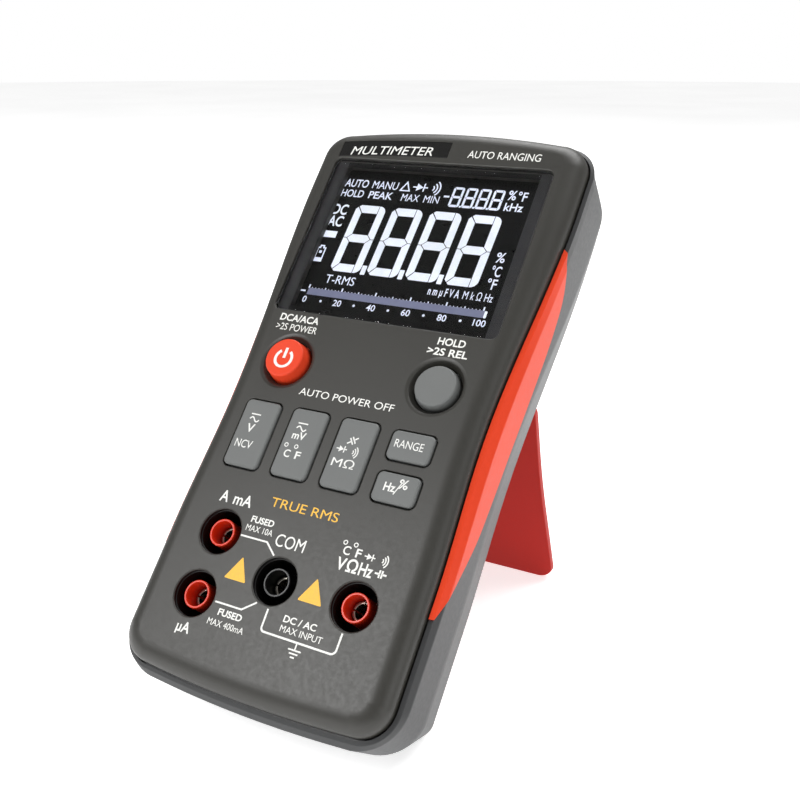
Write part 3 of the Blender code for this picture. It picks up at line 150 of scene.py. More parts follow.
def corner_centre(shell, inset, radius, upper):
    """Centre of a corner arc on the +x side."""
    side = 1.0 if upper else -1.0
    y = end_height(shell, 0.0, upper) - side * (inset + radius)
    x = 0.0
    for _ in range(14):
        x = half_width(shell, y) - inset - radius
        y = end_height(shell, x, upper) - side * (inset + radius)
    return x, y


def outline(shell, inset):
    """Closed outline of a shell drawn in by inset, counter-clockwise from the front."""
    radius = max(shell["corner"] - inset, 1.0)
    top_x, top_y = corner_centre(shell, inset, radius, True)
    low_x, low_y = corner_centre(shell, inset, radius, False)
    half = []
    for i in range(END_SPANS // 2):
        x = low_x * 2.0 * i / END_SPANS
        half.append((x, end_height(shell, x, False) + inset))
    for i in range(CORNER_SPANS):
        a = -math.pi / 2.0 * (1.0 - i / CORNER_SPANS)
        half.append((low_x + radius * math.cos(a), low_y + radius * math.sin(a)))
    for i in range(SIDE_SPANS):
        y = low_y + (top_y - low_y) * i / SIDE_SPANS
        half.append((half_width(shell, y) - inset, y))
    for i in range(CORNER_SPANS):
        a = math.pi / 2.0 * i / CORNER_SPANS
        half.append((top_x + radius * math.cos(a), top_y + radius * math.sin(a)))
    for i in range(END_SPANS // 2 + 1):
        x = top_x * (1.0 - 2.0 * i / END_SPANS)
        half.append((x, end_height(shell, x, True) - inset))
    mirrored = [(-x, y) for x, y in reversed(half[1:-1])]
    return half + mirrored


def at_level(points, z, sink=0.0):
    """Lift a flat outline to z, sinking by a given amount toward the head."""
    return [(x, y, z - sink * ease((y - WAIST_Y) / (HEAD_Y - WAIST_Y))) for x, y in points]


def rounded_rect(place, radius, grow=0.0, spans=8):
    """Rectangle with rounded corners, counter-clockwise."""
    x, y, width, height = place
    width += 2.0 * grow
    height += 2.0 * grow
    radius = max(radius + grow, 0.05)
    points = []
    for k in range(4):
        sx = 1.0 if k in (0, 3) else -1.0
        sy = 1.0 if k in (0, 1) else -1.0
        cx = x + sx * (width / 2.0 - radius)
        cy = y + sy * (height / 2.0 - radius)
        for i in range(spans + 1):
            a = math.pi / 2.0 * (k + i / spans)
            points.append((cx + radius * math.cos(a), cy + radius * math.sin(a)))
    return points


def circle(x, y, radius, sides=TURN):
    points = []
    for i in range(sides):
        a = 2.0 * math.pi * i / sides
        points.append((x + radius * math.cos(a), y + radius * math.sin(a)))
    return points


def filleted(points, radius, steps=5):
    """Closed path with every corner rounded; radius is a number or one number per corner."""
    count = len(points)
    result = []
    for i, point in enumerate(points):
        reach = radius[i] if isinstance(radius, (list, tuple)) else radius
        here = Vector(point)
        before = Vector(points[i - 1]) - here
        after = Vector(points[(i + 1) % count]) - here
        reach = min(reach, before.length * 0.48, after.length * 0.48)
        start = here + before.normalized() * reach
        end = here + after.normalized() * reach
        for k in range(steps + 1):
            t = k / steps
            result.append(tuple(start * (1 - t) ** 2 + here * 2 * t * (1 - t) + end * t * t))
    return result


# ================================================================ meshes
def loft(rings, bm=None, closed_tube=False):
    """Skin between rings of equal count, with flat caps or as a ring-shaped solid."""
    bm = bm or bmesh.new()
    levels = [[bm.verts.new(p) for p in ring] for ring in rings]
    count = len(levels[0])
    pairs = list(zip(levels, levels[1:]))
    if closed_tube:
        pairs.append((levels[-1], levels[0]))
    for low, high in pairs:
        for i in range(count):
            j = (i + 1) % count
            bm.faces.new((low[i], low[j], high[j], high[i]))
    if not closed_tube:
        bm.faces.new(levels[0][::-1])
        bm.faces.new(levels[-1])
    bmesh.ops.recalc_face_normals(bm, faces=bm.faces)
    return bm


def softened(rings, reach, steps=3):
    """Rings with every edge between them rounded: each is replaced by a short curve."""
    result = [rings[0]]
    last = len(rings) - 1
    for k in range(1, last):
        near = reach[k] if isinstance(reach, (list, tuple)) else reach
        curves = []
        for i, point in enumerate(rings[k]):
            here = Vector(point)
            back = Vector(rings[k - 1][i]) - here
            ahead = Vector(rings[k + 1][i]) - here
            a = here + back.normalized() * min(near, back.length * 0.45)
            b = here + ahead.normalized() * min(near, ahead.length * 0.45)
            curves.append((a, here, b))
        for s in range(steps + 1):
            t = s / steps
            ring = []
            for a, here, b in curves:
                ring.append(tuple(a * (1 - t) ** 2 + here * 2 * t * (1 - t) + b * t * t))
            result.append(ring)
    result.append(rings[last])
    return result


def prism(points, z0, z1, bm=None):
    return loft([at_level(points, z0), at_level(points, z1)], bm)


def turned(x, y, profile, sides=TURN, bm=None):
    """Solid of revolution along z: profile holds (radius, z) pairs."""
    return loft([at_level(circle(x, y, r, sides), z) for r, z in profile], bm)


def turned_across(y, z, profile, sides=TURN, bm=None):
    """Solid of revolution along x: profile holds (radius, x) pairs."""
    rings = [[(x, p[0], p[1]) for p in circle(y, z, r, sides)] for r, x in profile]
    return loft(rings, bm)


def slab_across(points, x0, x1, bm=None):
    """Prism along x of an outline given as (y, z) pairs."""
    return loft([[(x, p[0], p[1]) for p in points] for x in (x0, x1)], bm)


def box(x0, x1, y0, y1, z0, z1, bm=None):
    return prism([(x0, y0), (x1, y0), (x1, y1), (x0, y1)], z0, z1, bm)


def together(*meshes):
    """One bmesh holding several that don't touch."""
    result = bmesh.new()
    for bm in meshes:
        mesh = bpy.data.meshes.new("part")
        bm.to_mesh(mesh)
        bm.free()
        result.from_mesh(mesh)
        bpy.data.meshes.remove(mesh)
    return result


def as_object(bm, name="work"):
    """Scratch object holding a bmesh."""
    mesh = bpy.data.meshes.new(name)
    bm.to_mesh(mesh)
    bm.free()
    obj = bpy.data.objects.new(name, mesh)
    bpy.context.scene.collection.objects.link(obj)
    return obj


def evaluated(obj):
    """Plain mesh of an object with its modifiers worked in; the object is removed."""
    graph = bpy.context.evaluated_depsgraph_get()
    mesh = bpy.data.meshes.new_from_object(obj.evaluated_get(graph), depsgraph=graph)
    bpy.data.objects.remove(obj, do_unlink=True)
    return mesh


def carved(base, steps):
    """Base bmesh after a list of (operation, bmesh) boolean steps, as a bmesh."""
    obj = as_object(base)
    tools = []
    for operation, bm in steps:
        tool = as_object(bm, "tool")
        tools.append(tool)
        mod = obj.modifiers.new("step", "BOOLEAN")
        mod.operation = operation
        mod.solver = "EXACT"
        mod.object = tool
    mesh = evaluated(obj)
    for tool in tools:
        bpy.data.objects.remove(tool, do_unlink=True)
    bm = bmesh.new()
    bm.from_mesh(mesh)
    bpy.data.meshes.remove(mesh)
    bmesh.ops.remove_doubles(bm, verts=bm.verts, dist=0.002)
    bmesh.ops.dissolve_degenerate(bm, edges=bm.edges, dist=0.0005)
    return bm


def piece(name, bm, mats, body, nodes=(), sharp=35.0, bevel=0.0, steps=2, pick=None):
    """Finish a millimetre bmesh as a visible piece that rides on a body."""
    mats = mats if isinstance(mats, (list, tuple)) else [mats]
    if pick is not None:
        for face in bm.faces:
            face.material_index = pick(face)
    mesh = bpy.data.meshes.new(name)
    bm.to_mesh(mesh)
    bm.free()
    for mat in mats:
        mesh.materials.append(mat)
    mesh.shade_smooth()
    mesh.set_sharp_from_angle(angle=math.radians(sharp))
    obj = bpy.data.objects.new(name, mesh)
    bpy.context.scene.collection.objects.link(obj)
    if bevel > 0.0:
        mod = obj.modifiers.new("edge", "BEVEL")
        mod.width = bevel
        mod.segments = steps
        mod.limit_method = "ANGLE"
        mod.angle_limit = math.radians(sharp)
        mod.miter_outer = "MITER_ARC"
        mod.use_clamp_overlap = True
        mod.harden_normals = False
    mod = obj.modifiers.new("shade", "WEIGHTED_NORMAL")
    mod.keep_sharp = True
    mod.weight = 80
    graph = bpy.context.evaluated_depsgraph_get()
    final = bpy.data.meshes.new_from_object(obj.evaluated_get(graph), depsgraph=graph)
    obj.modifiers.clear()
    obj.data = final
    final.name = name
    final.transform(METER)
    bpy.data.meshes.remove(mesh)
    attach(obj, body)
    if nodes:
        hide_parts(*nodes)
    return obj


# ================================================================ materials
def linear(r, g, b):
    """Linear colour from 0-255 screen values."""
    out = []
    for c in (r, g, b):
        c = c / 255.0
        out.append(c / 12.92 if c <= 0.04045 else ((c + 0.055) / 1.055) ** 2.4)
    return (out[0], out[1], out[2], 1.0)


def new_material(name):
    mat = bpy.data.materials.new(name)
    mat.use_nodes = True
    nodes = mat.node_tree.nodes
    return mat, nodes, mat.node_tree.links, nodes["Principled BSDF"]


def coordinates(nodes, links, scale=(1.0, 1.0, 1.0)):
    """Object coordinates, stretched where a grain runs one way."""
    where = nodes.new("ShaderNodeTexCoord")
    mapping = nodes.new("ShaderNodeMapping")
    mapping.inputs["Scale"].default_value = scale
    links.new(where.outputs["Object"], mapping.inputs["Vector"])
    return mapping.outputs["Vector"]


def noise_node(nodes, links, vector, scale, detail=3.0, rough=0.55):
    node = nodes.new("ShaderNodeTexNoise")
    node.inputs["Scale"].default_value = scale
    node.inputs["Detail"].default_value = detail
    node.inputs["Roughness"].default_value = rough
    links.new(vector, node.inputs["Vector"])
    return node.outputs["Fac"]


def between(nodes, links, factor, low, high, start=0.3, end=0.7):
    """Two colours mixed by a factor through a ramp."""
    ramp = nodes.new("ShaderNodeValToRGB")
    ramp.color_ramp.elements[0].position = start
    ramp.color_ramp.elements[0].color = low
    ramp.color_ramp.elements[1].position = end
    ramp.color_ramp.elements[1].color = high
    links.new(factor, ramp.inputs["Fac"])
    return ramp.outputs["Color"]


def spread(nodes, links, factor, low, high):
    """Factor remapped to a range."""
    node = nodes.new("ShaderNodeMapRange")
    node.inputs["From Min"].default_value = 0.3
    node.inputs["From Max"].default_value = 0.7
    node.inputs["To Min"].default_value = low
    node.inputs["To Max"].default_value = high
    links.new(factor, node.inputs["Value"])
    return node.outputs["Result"]


def shade(colour, factor):
    return (colour[0] * factor, colour[1] * factor, colour[2] * factor, 1.0)


def moulded(name, colour, rough=0.42, grain=2600.0, depth=0.06, drift=0.1, metal=0.0,
            coat=0.0, specular=0.5):
    """Moulded plastic: spark-eroded grain, faint tone drift and uneven gloss."""
    mat, nodes, links, shader = new_material(name)
    vector = coordinates(nodes, links)
    cloud = noise_node(nodes, links, vector, 38.0)
    fine = noise_node(nodes, links, vector, grain, 2.0)
    speck = noise_node(nodes, links, vector, grain * 0.37, 2.0)
    tone = nodes.new("ShaderNodeMix")
    tone.data_type = "FLOAT"
    tone.inputs["Factor"].default_value = 0.35
    links.new(cloud, tone.inputs["A"])
    links.new(speck, tone.inputs["B"])
    paint = between(nodes, links, tone.outputs["Result"], shade(colour, 1.0 - drift),
                    shade(colour, 1.0 + drift))
    links.new(paint, shader.inputs["Base Color"])
    links.new(spread(nodes, links, speck, rough - 0.03, rough + 0.03), shader.inputs["Roughness"])
    shader.inputs["Metallic"].default_value = metal
    shader.inputs["Coat Weight"].default_value = coat
    shader.inputs["Specular IOR Level"].default_value = specular
    bump = nodes.new("ShaderNodeBump")
    bump.inputs["Strength"].default_value = depth
    bump.inputs["Distance"].default_value = 0.00005
    links.new(fine, bump.inputs["Height"])
    links.new(bump.outputs["Normal"], shader.inputs["Normal"])
    return mat


def plated(name, colour, rough=0.22, run=(60.0, 900.0, 900.0)):
    """Plated or turned metal with fine tool marks and dull patches."""
    mat, nodes, links, shader = new_material(name)
    vector = coordinates(nodes, links, run)
    marks = noise_node(nodes, links, vector, 6.0, 4.0)
    patch = noise_node(nodes, links, coordinates(nodes, links), 160.0)
    paint = between(nodes, links, patch, shade(colour, 0.72), colour)
    links.new(paint, shader.inputs["Base Color"])
    links.new(spread(nodes, links, marks, rough, rough + 0.14), shader.inputs["Roughness"])
    shader.inputs["Metallic"].default_value = 1.0
    bump = nodes.new("ShaderNodeBump")
    bump.inputs["Strength"].default_value = 0.12
    bump.inputs["Distance"].default_value = 0.00005
    links.new(marks, bump.inputs["Height"])
    links.new(bump.outputs["Normal"], shader.inputs["Normal"])
    return mat


def printed(name, colour, rough=0.5, wear=0.12):
    """Screen-printed ink with slightly uneven cover."""
    mat, nodes, links, shader = new_material(name)
    vector = coordinates(nodes, links)
    cover = noise_node(nodes, links, vector, 1500.0, 3.0)
    paint = between(nodes, links, cover, shade(colour, 1.0 - wear), colour, 0.25, 0.6)
    links.new(paint, shader.inputs["Base Color"])
    links.new(spread(nodes, links, cover, rough - 0.08, rough + 0.08), shader.inputs["Roughness"])
    bump = nodes.new("ShaderNodeBump")
    bump.inputs["Strength"].default_value = 0.05
    bump.inputs["Distance"].default_value = 0.00003
    links.new(cover, bump.inputs["Height"])
    links.new(bump.outputs["Normal"], shader.inputs["Normal"])
    return mat


def glowing(name, colour, strength, falloff=0.12):
    """Lit liquid-crystal segment: backlight shining through, a little uneven."""
    mat, nodes, links, shader = new_material(name)
    vector = coordinates(nodes, links)
    cloud = noise_node(nodes, links, vector, 55.0, 2.0)
    mesh_grain = noise_node(nodes, links, vector, 5200.0, 1.0)
    mixed = nodes.new("ShaderNodeMix")
    mixed.data_type = "FLOAT"
    mixed.inputs["Factor"].default_value = 0.25
    links.new(cloud, mixed.inputs["A"])
    links.new(mesh_grain, mixed.inputs["B"])
    light = between(nodes, links, mixed.outputs["Result"], shade(colour, 1.0 - falloff), colour)
    links.new(light, shader.inputs["Emission Color"])
    shader.inputs["Emission Strength"].default_value = strength
    body = between(nodes, links, cloud, shade(colour, 0.25), shade(colour, 0.32))
    links.new(body, shader.inputs["Base Color"])
    shader.inputs["Roughness"].default_value = 0.35
    return mat


def clear_window(name):
    """Clear acrylic with a trace of haze and moulding ripple."""
    mat, nodes, links, shader = new_material(name)
    vector = coordinates(nodes, links)
    ripple = noise_node(nodes, links, vector, 9.0, 0.0)
    haze = noise_node(nodes, links, vector, 420.0, 2.0)
    links.new(spread(nodes, links, haze, 0.0, 0.012), shader.inputs["Roughness"])
    links.new(between(nodes, links, haze, (0.86, 0.87, 0.88, 1.0), (0.93, 0.93, 0.93, 1.0)),
              shader.inputs["Base Color"])
    shader.inputs["Transmission Weight"].default_value = 1.0
    shader.inputs["IOR"].default_value = 1.2
    bump = nodes.new("ShaderNodeBump")
    bump.inputs["Strength"].default_value = 0.02
    bump.inputs["Distance"].default_value = 0.0001
    links.new(ripple, bump.inputs["Height"])
    links.new(bump.outputs["Normal"], shader.inputs["Normal"])
    return mat


front_plastic = moulded("front_shell_plastic", linear(49, 48, 44), 0.43, 2400.0, 0.05, 0.06)
# painted shade: near-black colour for the inside of the socket wells, dark from the shade in their
# depth
well_shade_paint = moulded("well_painted_shade", linear(14, 12, 11), 0.34, 1800.0, 0.05, 0.1)
rear_plastic = moulded("rear_shell_plastic", linear(47, 48, 49), 0.46, 2600.0, 0.06, 0.06)
grip_plastic = moulded("grip_plastic_red", linear(218, 62, 28), 0.46, 2600.0, 0.06, 0.05,
                        specular=0.22)
# painted shade: the stand's red is set darker, to the tone its face shows in shade
stand_red_painted_shade = moulded("stand_plastic_red", linear(176, 28, 18), 0.46, 2200.0, 0.09, 0.06,
                         specular=0.2)
key_rubber = moulded("key_plastic_grey", linear(106, 108, 107), 0.56, 3000.0, 0.08, 0.05)
power_rubber = moulded("key_plastic_red", linear(224, 66, 34), 0.46, 3000.0, 0.06, 0.05,
                        specular=0.25)
collar_red = moulded("jack_plastic_red", linear(216, 46, 14), 0.34, 2000.0, 0.02, 0.04)
collar_black = moulded("jack_plastic_black", linear(10, 10, 10), 0.36, 2000.0, 0.02, 0.06)
plate_black = moulded("name_plate_black", linear(16, 15, 14), 0.24, 2600.0, 0.03, 0.12)
panel_black = moulded("lcd_black", linear(10, 10, 9), 0.3, 900.0, 0.02, 0.2, specular=0.2)
border_grey = moulded("window_border_print", linear(40, 40, 42), 0.5, 1400.0, 0.03, 0.06)
door_plastic = moulded("door_plastic", linear(46, 47, 48), 0.5, 2200.0, 0.12, 0.07)
nickel = plated("contact_metal", linear(214, 208, 196), 0.2, (900.0, 900.0, 60.0))
zinc = plated("screw_steel", linear(188, 190, 192), 0.26, (500.0, 500.0, 500.0))
ink_white = printed("ink_white", linear(243, 243, 238))
ink_yellow = printed("ink_yellow", linear(246, 190, 62))
ink_key = printed("ink_key_white", linear(238, 238, 234))
segment_white = glowing("segment_white", linear(236, 242, 254), 1.05)
segment_lilac = glowing("segment_lilac", linear(136, 141, 172), 0.62, 0.06)
segment_small = glowing("segment_small", linear(222, 228, 246), 1.15)
acrylic = clear_window("lens_acrylic")


# ================================================================ front shell
def flared(path, fillet, low, steps=6):
    """Cutter rings for a hole whose mouth at the face is rounded: path(grow) is its outline."""
    rings = [at_level(path(0.0), low)]
    for k in range(steps + 1):
        a = math.radians(84.0) * k / steps
        z = -fillet + fillet * math.sin(a)
        rings.append(at_level(path(fillet * (1.0 - math.cos(a))), z))
    rings.append(at_level(path(fillet * 1.25), fillet * 0.2))
    rings.append(at_level(path(fillet * 1.25), 3.0))
    return loft(rings)


def plate_outline(grow):
    """Strip over the display whose long edges follow the arched top of the case."""
    left, right = -34.3 - grow, 1.3 + grow
    top, low = [], []
    for i in range(25):
        x = left + (right - left) * i / 24
        y = 77.75 - 1.5 * (x / -34.3) ** 2
        top.append((x, y + grow))
        low.append((x, y - 5.2 - grow))
    return low + top[::-1]


def front_shell():
    """Front shell: rounded edge, window, dished key seats, key openings and socket wells."""
    rings = [
        at_level(outline(FRONT, EDGE_ROLL + WALL), -WALL),
        at_level(outline(FRONT, 2.0 * WALL), -WALL - GAP),
        at_level(outline(FRONT, WALL + GAP), -EDGE_DROP, HEAD_SINK),
        at_level(outline(FRONT, WALL), LIP_Z, HEAD_SINK),
        at_level(outline(FRONT, 0.25), LIP_Z, HEAD_SINK),
        at_level(outline(FRONT, 0.0), LIP_Z + 0.25, HEAD_SINK),
    ]
    for i in range(EDGE_STEPS + 1):
        a = math.pi / 2.0 * i / EDGE_STEPS
        fall = 1.0 - math.sin(a)
        inset = EDGE_ROLL * (1.0 - math.cos(a))
        rings.append(at_level(outline(FRONT, inset), -EDGE_DROP * fall, HEAD_SINK * fall))
    pads = [prism(rounded_rect(WINDOW, WINDOW_R, 2.0), LEDGE_Z, -WALL / 2.0)]
    for x, y, _ in ROUND_KEYS.values():
        pads.append(turned(x, y, [(9.2, -4.0), (9.2, -WALL / 2.0)]))
    for x, y in SOCKETS.values():
        pads.append(turned(x, y, [(WELL_R + 1.35, WELL_Z - 1.5), (WELL_R + 1.35, -WALL / 2.0)]))
    posts = []
    for x, y in CASE_SCREWS:
        posts.append(turned(x, y, [(3.0, BOARD_BOTTOM - 0.8), (3.0, -WALL / 2.0)], 32))
    window = flared(lambda g: rounded_rect(WINDOW, WINDOW_R, g), 0.28, LENS_LOW - GAP)
    through = (WINDOW[0], WINDOW[1], WINDOW[2] - 8.0, WINDOW[3] - 3.6)
    holes = [prism(plate_outline(0.12), -1.0, 3.0)]
    for place in TALL_KEYS.values():
        holes.append(flared(lambda g, p=place: rounded_rect(p, KEY_R, KEY_GAP + g), 0.3, -4.4))
    for x, y, _ in ROUND_KEYS.values():
        bore = 6.2 + KEY_GAP
        slope = (DISH_R - bore) / -DISH_Z
        dish = [(bore, -6.2), (bore, DISH_Z - 0.3), (bore + 0.12, DISH_Z - 0.08),
                (bore + 0.35, DISH_Z + 0.25)]
        for k in range(7):
            t = k / 6.0
            dish.append((DISH_R - 0.5 * slope * 1.2 + 1.1 * t ** 1.4, -0.5 + 0.5 * t ** 0.7))
        dish += [(DISH_R + 0.75, 0.08), (DISH_R + 0.75, 3.0)]
        holes.append(turned(x, y, dish))
    for x, y in SOCKETS.values():
        well = [(WELL_R - 0.18, WELL_Z), (WELL_R - 0.18, -1.15), (WELL_R, -1.05)]
        for k in range(7):
            a = math.radians(84.0) * k / 6
            well.append((WELL_R + 0.42 * (1 - math.cos(a)), -0.42 + 0.42 * math.sin(a)))
        well += [(WELL_R + 0.5, 0.08), (WELL_R + 0.5, 3.0)]
        holes.append(turned(x, y, well))
    bores = []
    for x, y in SOCKETS.values():
        bores.append(turned(x, y, [(COLLAR_R + GAP, WELL_Z - 4.0), (COLLAR_R + GAP, WELL_Z + 1.0)]))
    steps = [
        ("UNION", together(*pads)),
        ("UNION", together(*posts)),
        ("DIFFERENCE", window),
        ("DIFFERENCE", prism(rounded_rect(through, 1.1), LEDGE_Z - WALL, 3.0)),
        ("DIFFERENCE", together(*holes)),
        ("DIFFERENCE", together(*bores)),
    ]
    return carved(loft(rings), steps)


def pick_well_shade(face):
    """Painted shade: faces down inside the socket wells take a near-black second material that
    stands in for the shade in the wells.
    """
    c = face.calc_center_median()
    if c.z > -0.25 or c.z < WELL_Z - 0.4:
        return 0
    for x, y in SOCKETS.values():
        if math.hypot(c.x - x, c.y - y) < WELL_R + 0.3:
            return 1
    return 0


# ================================================================ rear shell, grips
def rear_rings(grow=0.0):
    """Outside of the rear shell from the seam to the back, with softened ridges."""
    rings = [
        at_level(outline(FRONT, -GROOVE), RIM_Z + grow, HEAD_SINK),
        at_level(outline(FRONT, -GROOVE - BEVEL_OUT - grow / 2.0), BEVEL_Z + grow, HEAD_SINK),
        at_level(outline(REAR, -grow), RIDGE_Z + grow / 2.0, RIDGE_SINK),
        at_level(outline(REAR, SIDE_DRAFT - grow), SIDE_Z, SIDE_SINK),
        at_level(outline(BACK, -grow), BACK_Z - grow),
    ]
    return softened(rings, [0, 0.2, 0.4, 1.6, 0], 4)


def rear_skin(grow):
    return loft([at_level(outline(FRONT, WALL), RIM_Z + grow, HEAD_SINK)] + rear_rings(grow))


def rear_blank():
    inner = [
        at_level(outline(BACK, WALL), BACK_Z + WALL),
        at_level(outline(REAR, 3.0), SIDE_Z, HEAD_SINK),
        at_level(outline(FRONT, 4.1), -7.6, HEAD_SINK),
        at_level(outline(FRONT, 4.1), -4.8, HEAD_SINK),
        at_level(outline(FRONT, 2.9), -4.8, HEAD_SINK),
        at_level(outline(FRONT, 2.9), LIP_Z - GAP, HEAD_SINK),
        at_level(outline(FRONT, -GROOVE), LIP_Z - GAP, HEAD_SINK),
    ]
    body = rear_rings()
    edge = at_level(outline(BACK, 0.6), BACK_Z)
    back = softened([body[-2], body[-1], edge], [0, 0.8, 0], 4)
    return loft(inner + body[:-1] + back[1:])


def grip_path(grow):
    """Leaf-shaped outline of a side grip as (y, z)."""
    rear = [(47.0, RIDGE_Z), (40.0, -14.5), (27.0, -17.6), (6.0, -18.9), (-14.0, -17.6),
            (-30.0, -14.6), (-46.5, RIDGE_Z)]
    points = [(51.6 + grow, 3.0), (51.6 + grow, RIM_Z)]
    for y, z in rear:
        points.append((y + (grow if y > 0 else -grow), z - grow))
    points += [(-53.0 - grow, RIM_Z), (-53.0 - grow, 3.0)]
    return filleted(points, [0.1, 0.4, 2.5, 5.0, 7.0, 9.0, 7.0, 5.0, 2.5, 0.4, 0.1], 6)


def grip_blank(side, grow):
    ends = (side * 18.0, side * 120.0)
    return slab_across(grip_path(grow), min(ends), max(ends))


def side_grip(side):
    """Inlay that wraps the rim, the ridge and the side of the rear shell."""
    core = prism(outline(FRONT, -GROOVE), -120.0, 120.0)
    return carved(grip_blank(side, 0.0), [
        ("INTERSECT", rear_skin(0.4)),
        ("DIFFERENCE", rear_skin(-1.3)),
        ("DIFFERENCE", core),
    ])


def grip_pocket(side):
    return carved(grip_blank(side, 0.18), [
        ("DIFFERENCE", rear_skin(-1.3 - 0.18)),
        ("DIFFERENCE", prism(outline(FRONT, 0.05 - GROOVE), -120.0, 120.0)),
    ])


def door_path(grow):
    middle = (-16.5 - 53.5) / 2.0
    return rounded_rect((0.0, middle, 56.4, 37.0), 3.0, grow)


def tilted(back, up):
    """Meter-frame (y, z) of a point given by its distance to the rear and its height."""
    return (back * math.sin(LEAN) + up * math.cos(LEAN),
            up * math.sin(LEAN) - back * math.cos(LEAN))


def rear_shell():
    """Rear shell with grip pockets, door rebate, hinge trough, screw seats and sound slots."""
    inside = BACK_Z + WALL / 2.0
    posts = [turned(x, y, [(5.0, inside), (5.0, BOARD_BOTTOM - 1.1)], 32) for x, y in CASE_SCREWS]
    housing = box(-26.0, 26.0, HINGE_Y - 6.0, HINGE_Y + 6.0, inside, -31.8)
    bay = box(-27.1, 27.1, -44.8, -19.2, inside, -24.95)
    post = turned(0.0, -49.0, [(5.6, inside), (5.6, -25.8)])
    bay_hollow = box(-25.6, 25.6, -43.55, -20.45, BACK_Z - WALL, -26.45)
    rebate = prism(door_path(0.2), BACK_Z - WALL, BACK_Z + 1.9)
    boss_seat = turned(0.0, -49.0, [(4.3, BACK_Z - WALL), (4.3, BACK_Z + 3.9)], 40)
    seats = []
    for x, y in CASE_SCREWS:
        seats.append(turned(x, y, [(3.7, BACK_Z - WALL), (3.3, BACK_Z + 0.35), (3.2, -34.5),
                                   (1.65, -34.45), (1.65, -18.0)], 40))
    trough = turned_across(HINGE_Y, HINGE_Z, [(4.0, -20.0), (4.0, 20.0)], 48)
    pin_bore = turned_across(HINGE_Y, HINGE_Z, [(1.5, -23.3), (1.5, 23.3)], 24)
    far = 120.0
    low = [tilted(-far, GROUND), tilted(far, GROUND), tilted(far, -far), tilted(-far, -far)]
    slots = sound_slots()
    return carved(rear_blank(), [
        ("UNION", together(*posts, housing)),
        ("UNION", bay),
        ("UNION", post),
        ("DIFFERENCE", bay_hollow),
        ("DIFFERENCE", rebate),
        ("DIFFERENCE", boss_seat),
        ("DIFFERENCE", together(*seats)),
        ("DIFFERENCE", trough),
        ("DIFFERENCE", pin_bore),
        ("DIFFERENCE", slab_across(low, -far, far)),
        ("DIFFERENCE", grip_pocket(-1.0)),
        ("DIFFERENCE", grip_pocket(1.0)),
        ("DIFFERENCE", slots),
    ])


def sound_slots():
    """Three short slots over the buzzer."""
    slots = []
    for k in range(3):
        place = (20.0, 52.0 + 3.4 * k, 11.0, 1.3)
        slots.append(prism(rounded_rect(place, 0.62, 0.0, 5), BACK_Z - 1.0, BACK_Z + 1.1))
    return together(*slots)


# ================================================================ repeated shapes
def copies_tree():
    """Geometry Nodes: one source mesh placed on every point, with a random turn about z."""
    tree = bpy.data.node_groups.new("copies_on_points", "GeometryNodeTree")
    tree.interface.new_socket("Geometry", in_out="INPUT", socket_type="NodeSocketGeometry")
    tree.interface.new_socket("Source", in_out="INPUT", socket_type="NodeSocketObject")
    tree.interface.new_socket("Material", in_out="INPUT", socket_type="NodeSocketMaterial")
    tree.interface.new_socket("Turn", in_out="INPUT", socket_type="NodeSocketFloat")
    tree.interface.new_socket("Seed", in_out="INPUT", socket_type="NodeSocketInt")
    tree.interface.new_socket("Geometry", in_out="OUTPUT", socket_type="NodeSocketGeometry")
    nodes, links = tree.nodes, tree.links
    start = nodes.new("NodeGroupInput")
    end = nodes.new("NodeGroupOutput")
    source = nodes.new("GeometryNodeObjectInfo")
    turn = nodes.new("FunctionNodeRandomValue")
    turn.data_type = "FLOAT"
    angle = nodes.new("ShaderNodeCombineXYZ")
    place = nodes.new("GeometryNodeInstanceOnPoints")
    plain = nodes.new("GeometryNodeRealizeInstances")
    paint = nodes.new("GeometryNodeSetMaterial")
    links.new(start.outputs["Source"], source.inputs["Object"])
    links.new(start.outputs["Turn"], turn.inputs[3])
    links.new(start.outputs["Seed"], turn.inputs["Seed"])
    links.new(turn.outputs[1], angle.inputs["Z"])
    links.new(start.outputs["Geometry"], place.inputs["Points"])
    links.new(source.outputs["Geometry"], place.inputs["Instance"])
    links.new(angle.outputs["Vector"], place.inputs["Rotation"])
    links.new(place.outputs["Instances"], plain.inputs["Geometry"])
    links.new(plain.outputs["Geometry"], paint.inputs["Geometry"])
    links.new(start.outputs["Material"], paint.inputs["Material"])
    links.new(paint.outputs["Geometry"], end.inputs["Geometry"])
    return tree


COPIES = copies_tree()


def copies(source_bm, points, mat, turn=0.0, seed=7):
    """The source mesh repeated on a list of points, as one bmesh."""
    source = as_object(source_bm, "source")
    mesh = bpy.data.meshes.new("points")
    mesh.from_pydata([tuple(p) for p in points], [], [])
    obj = bpy.data.objects.new("points", mesh)
    bpy.context.scene.collection.objects.link(obj)
    mod = obj.modifiers.new("copies", "NODES")
    mod.node_group = COPIES
    values = {"Source": source, "Material": mat, "Turn": turn, "Seed": seed}
    for item in COPIES.interface.items_tree:
        if item.in_out == "INPUT" and item.name in values:
            mod[item.identifier] = values[item.name]
    result = evaluated(obj)
    bpy.data.objects.remove(source, do_unlink=True)
    bm = bmesh.new()
    bm.from_mesh(result)
    bpy.data.meshes.remove(result)
    return bm


# ================================================================ lettering and line work
INK = 0.035                            # stand of printed ink over the surface
INK_SINK = 0.08                        # how far a print reaches into the surface


def cap_height():
    """Height of a capital in the built-in font at size one."""
    data = bpy.data.curves.new("cap", "FONT")
    data.body = "H"
    obj = bpy.data.objects.new("cap", data)
    bpy.context.scene.collection.objects.link(obj)
    mesh = evaluated(obj)
    tall = max(v.co.y for v in mesh.vertices)
    bpy.data.meshes.remove(mesh)
    return tall


CAP = cap_height()


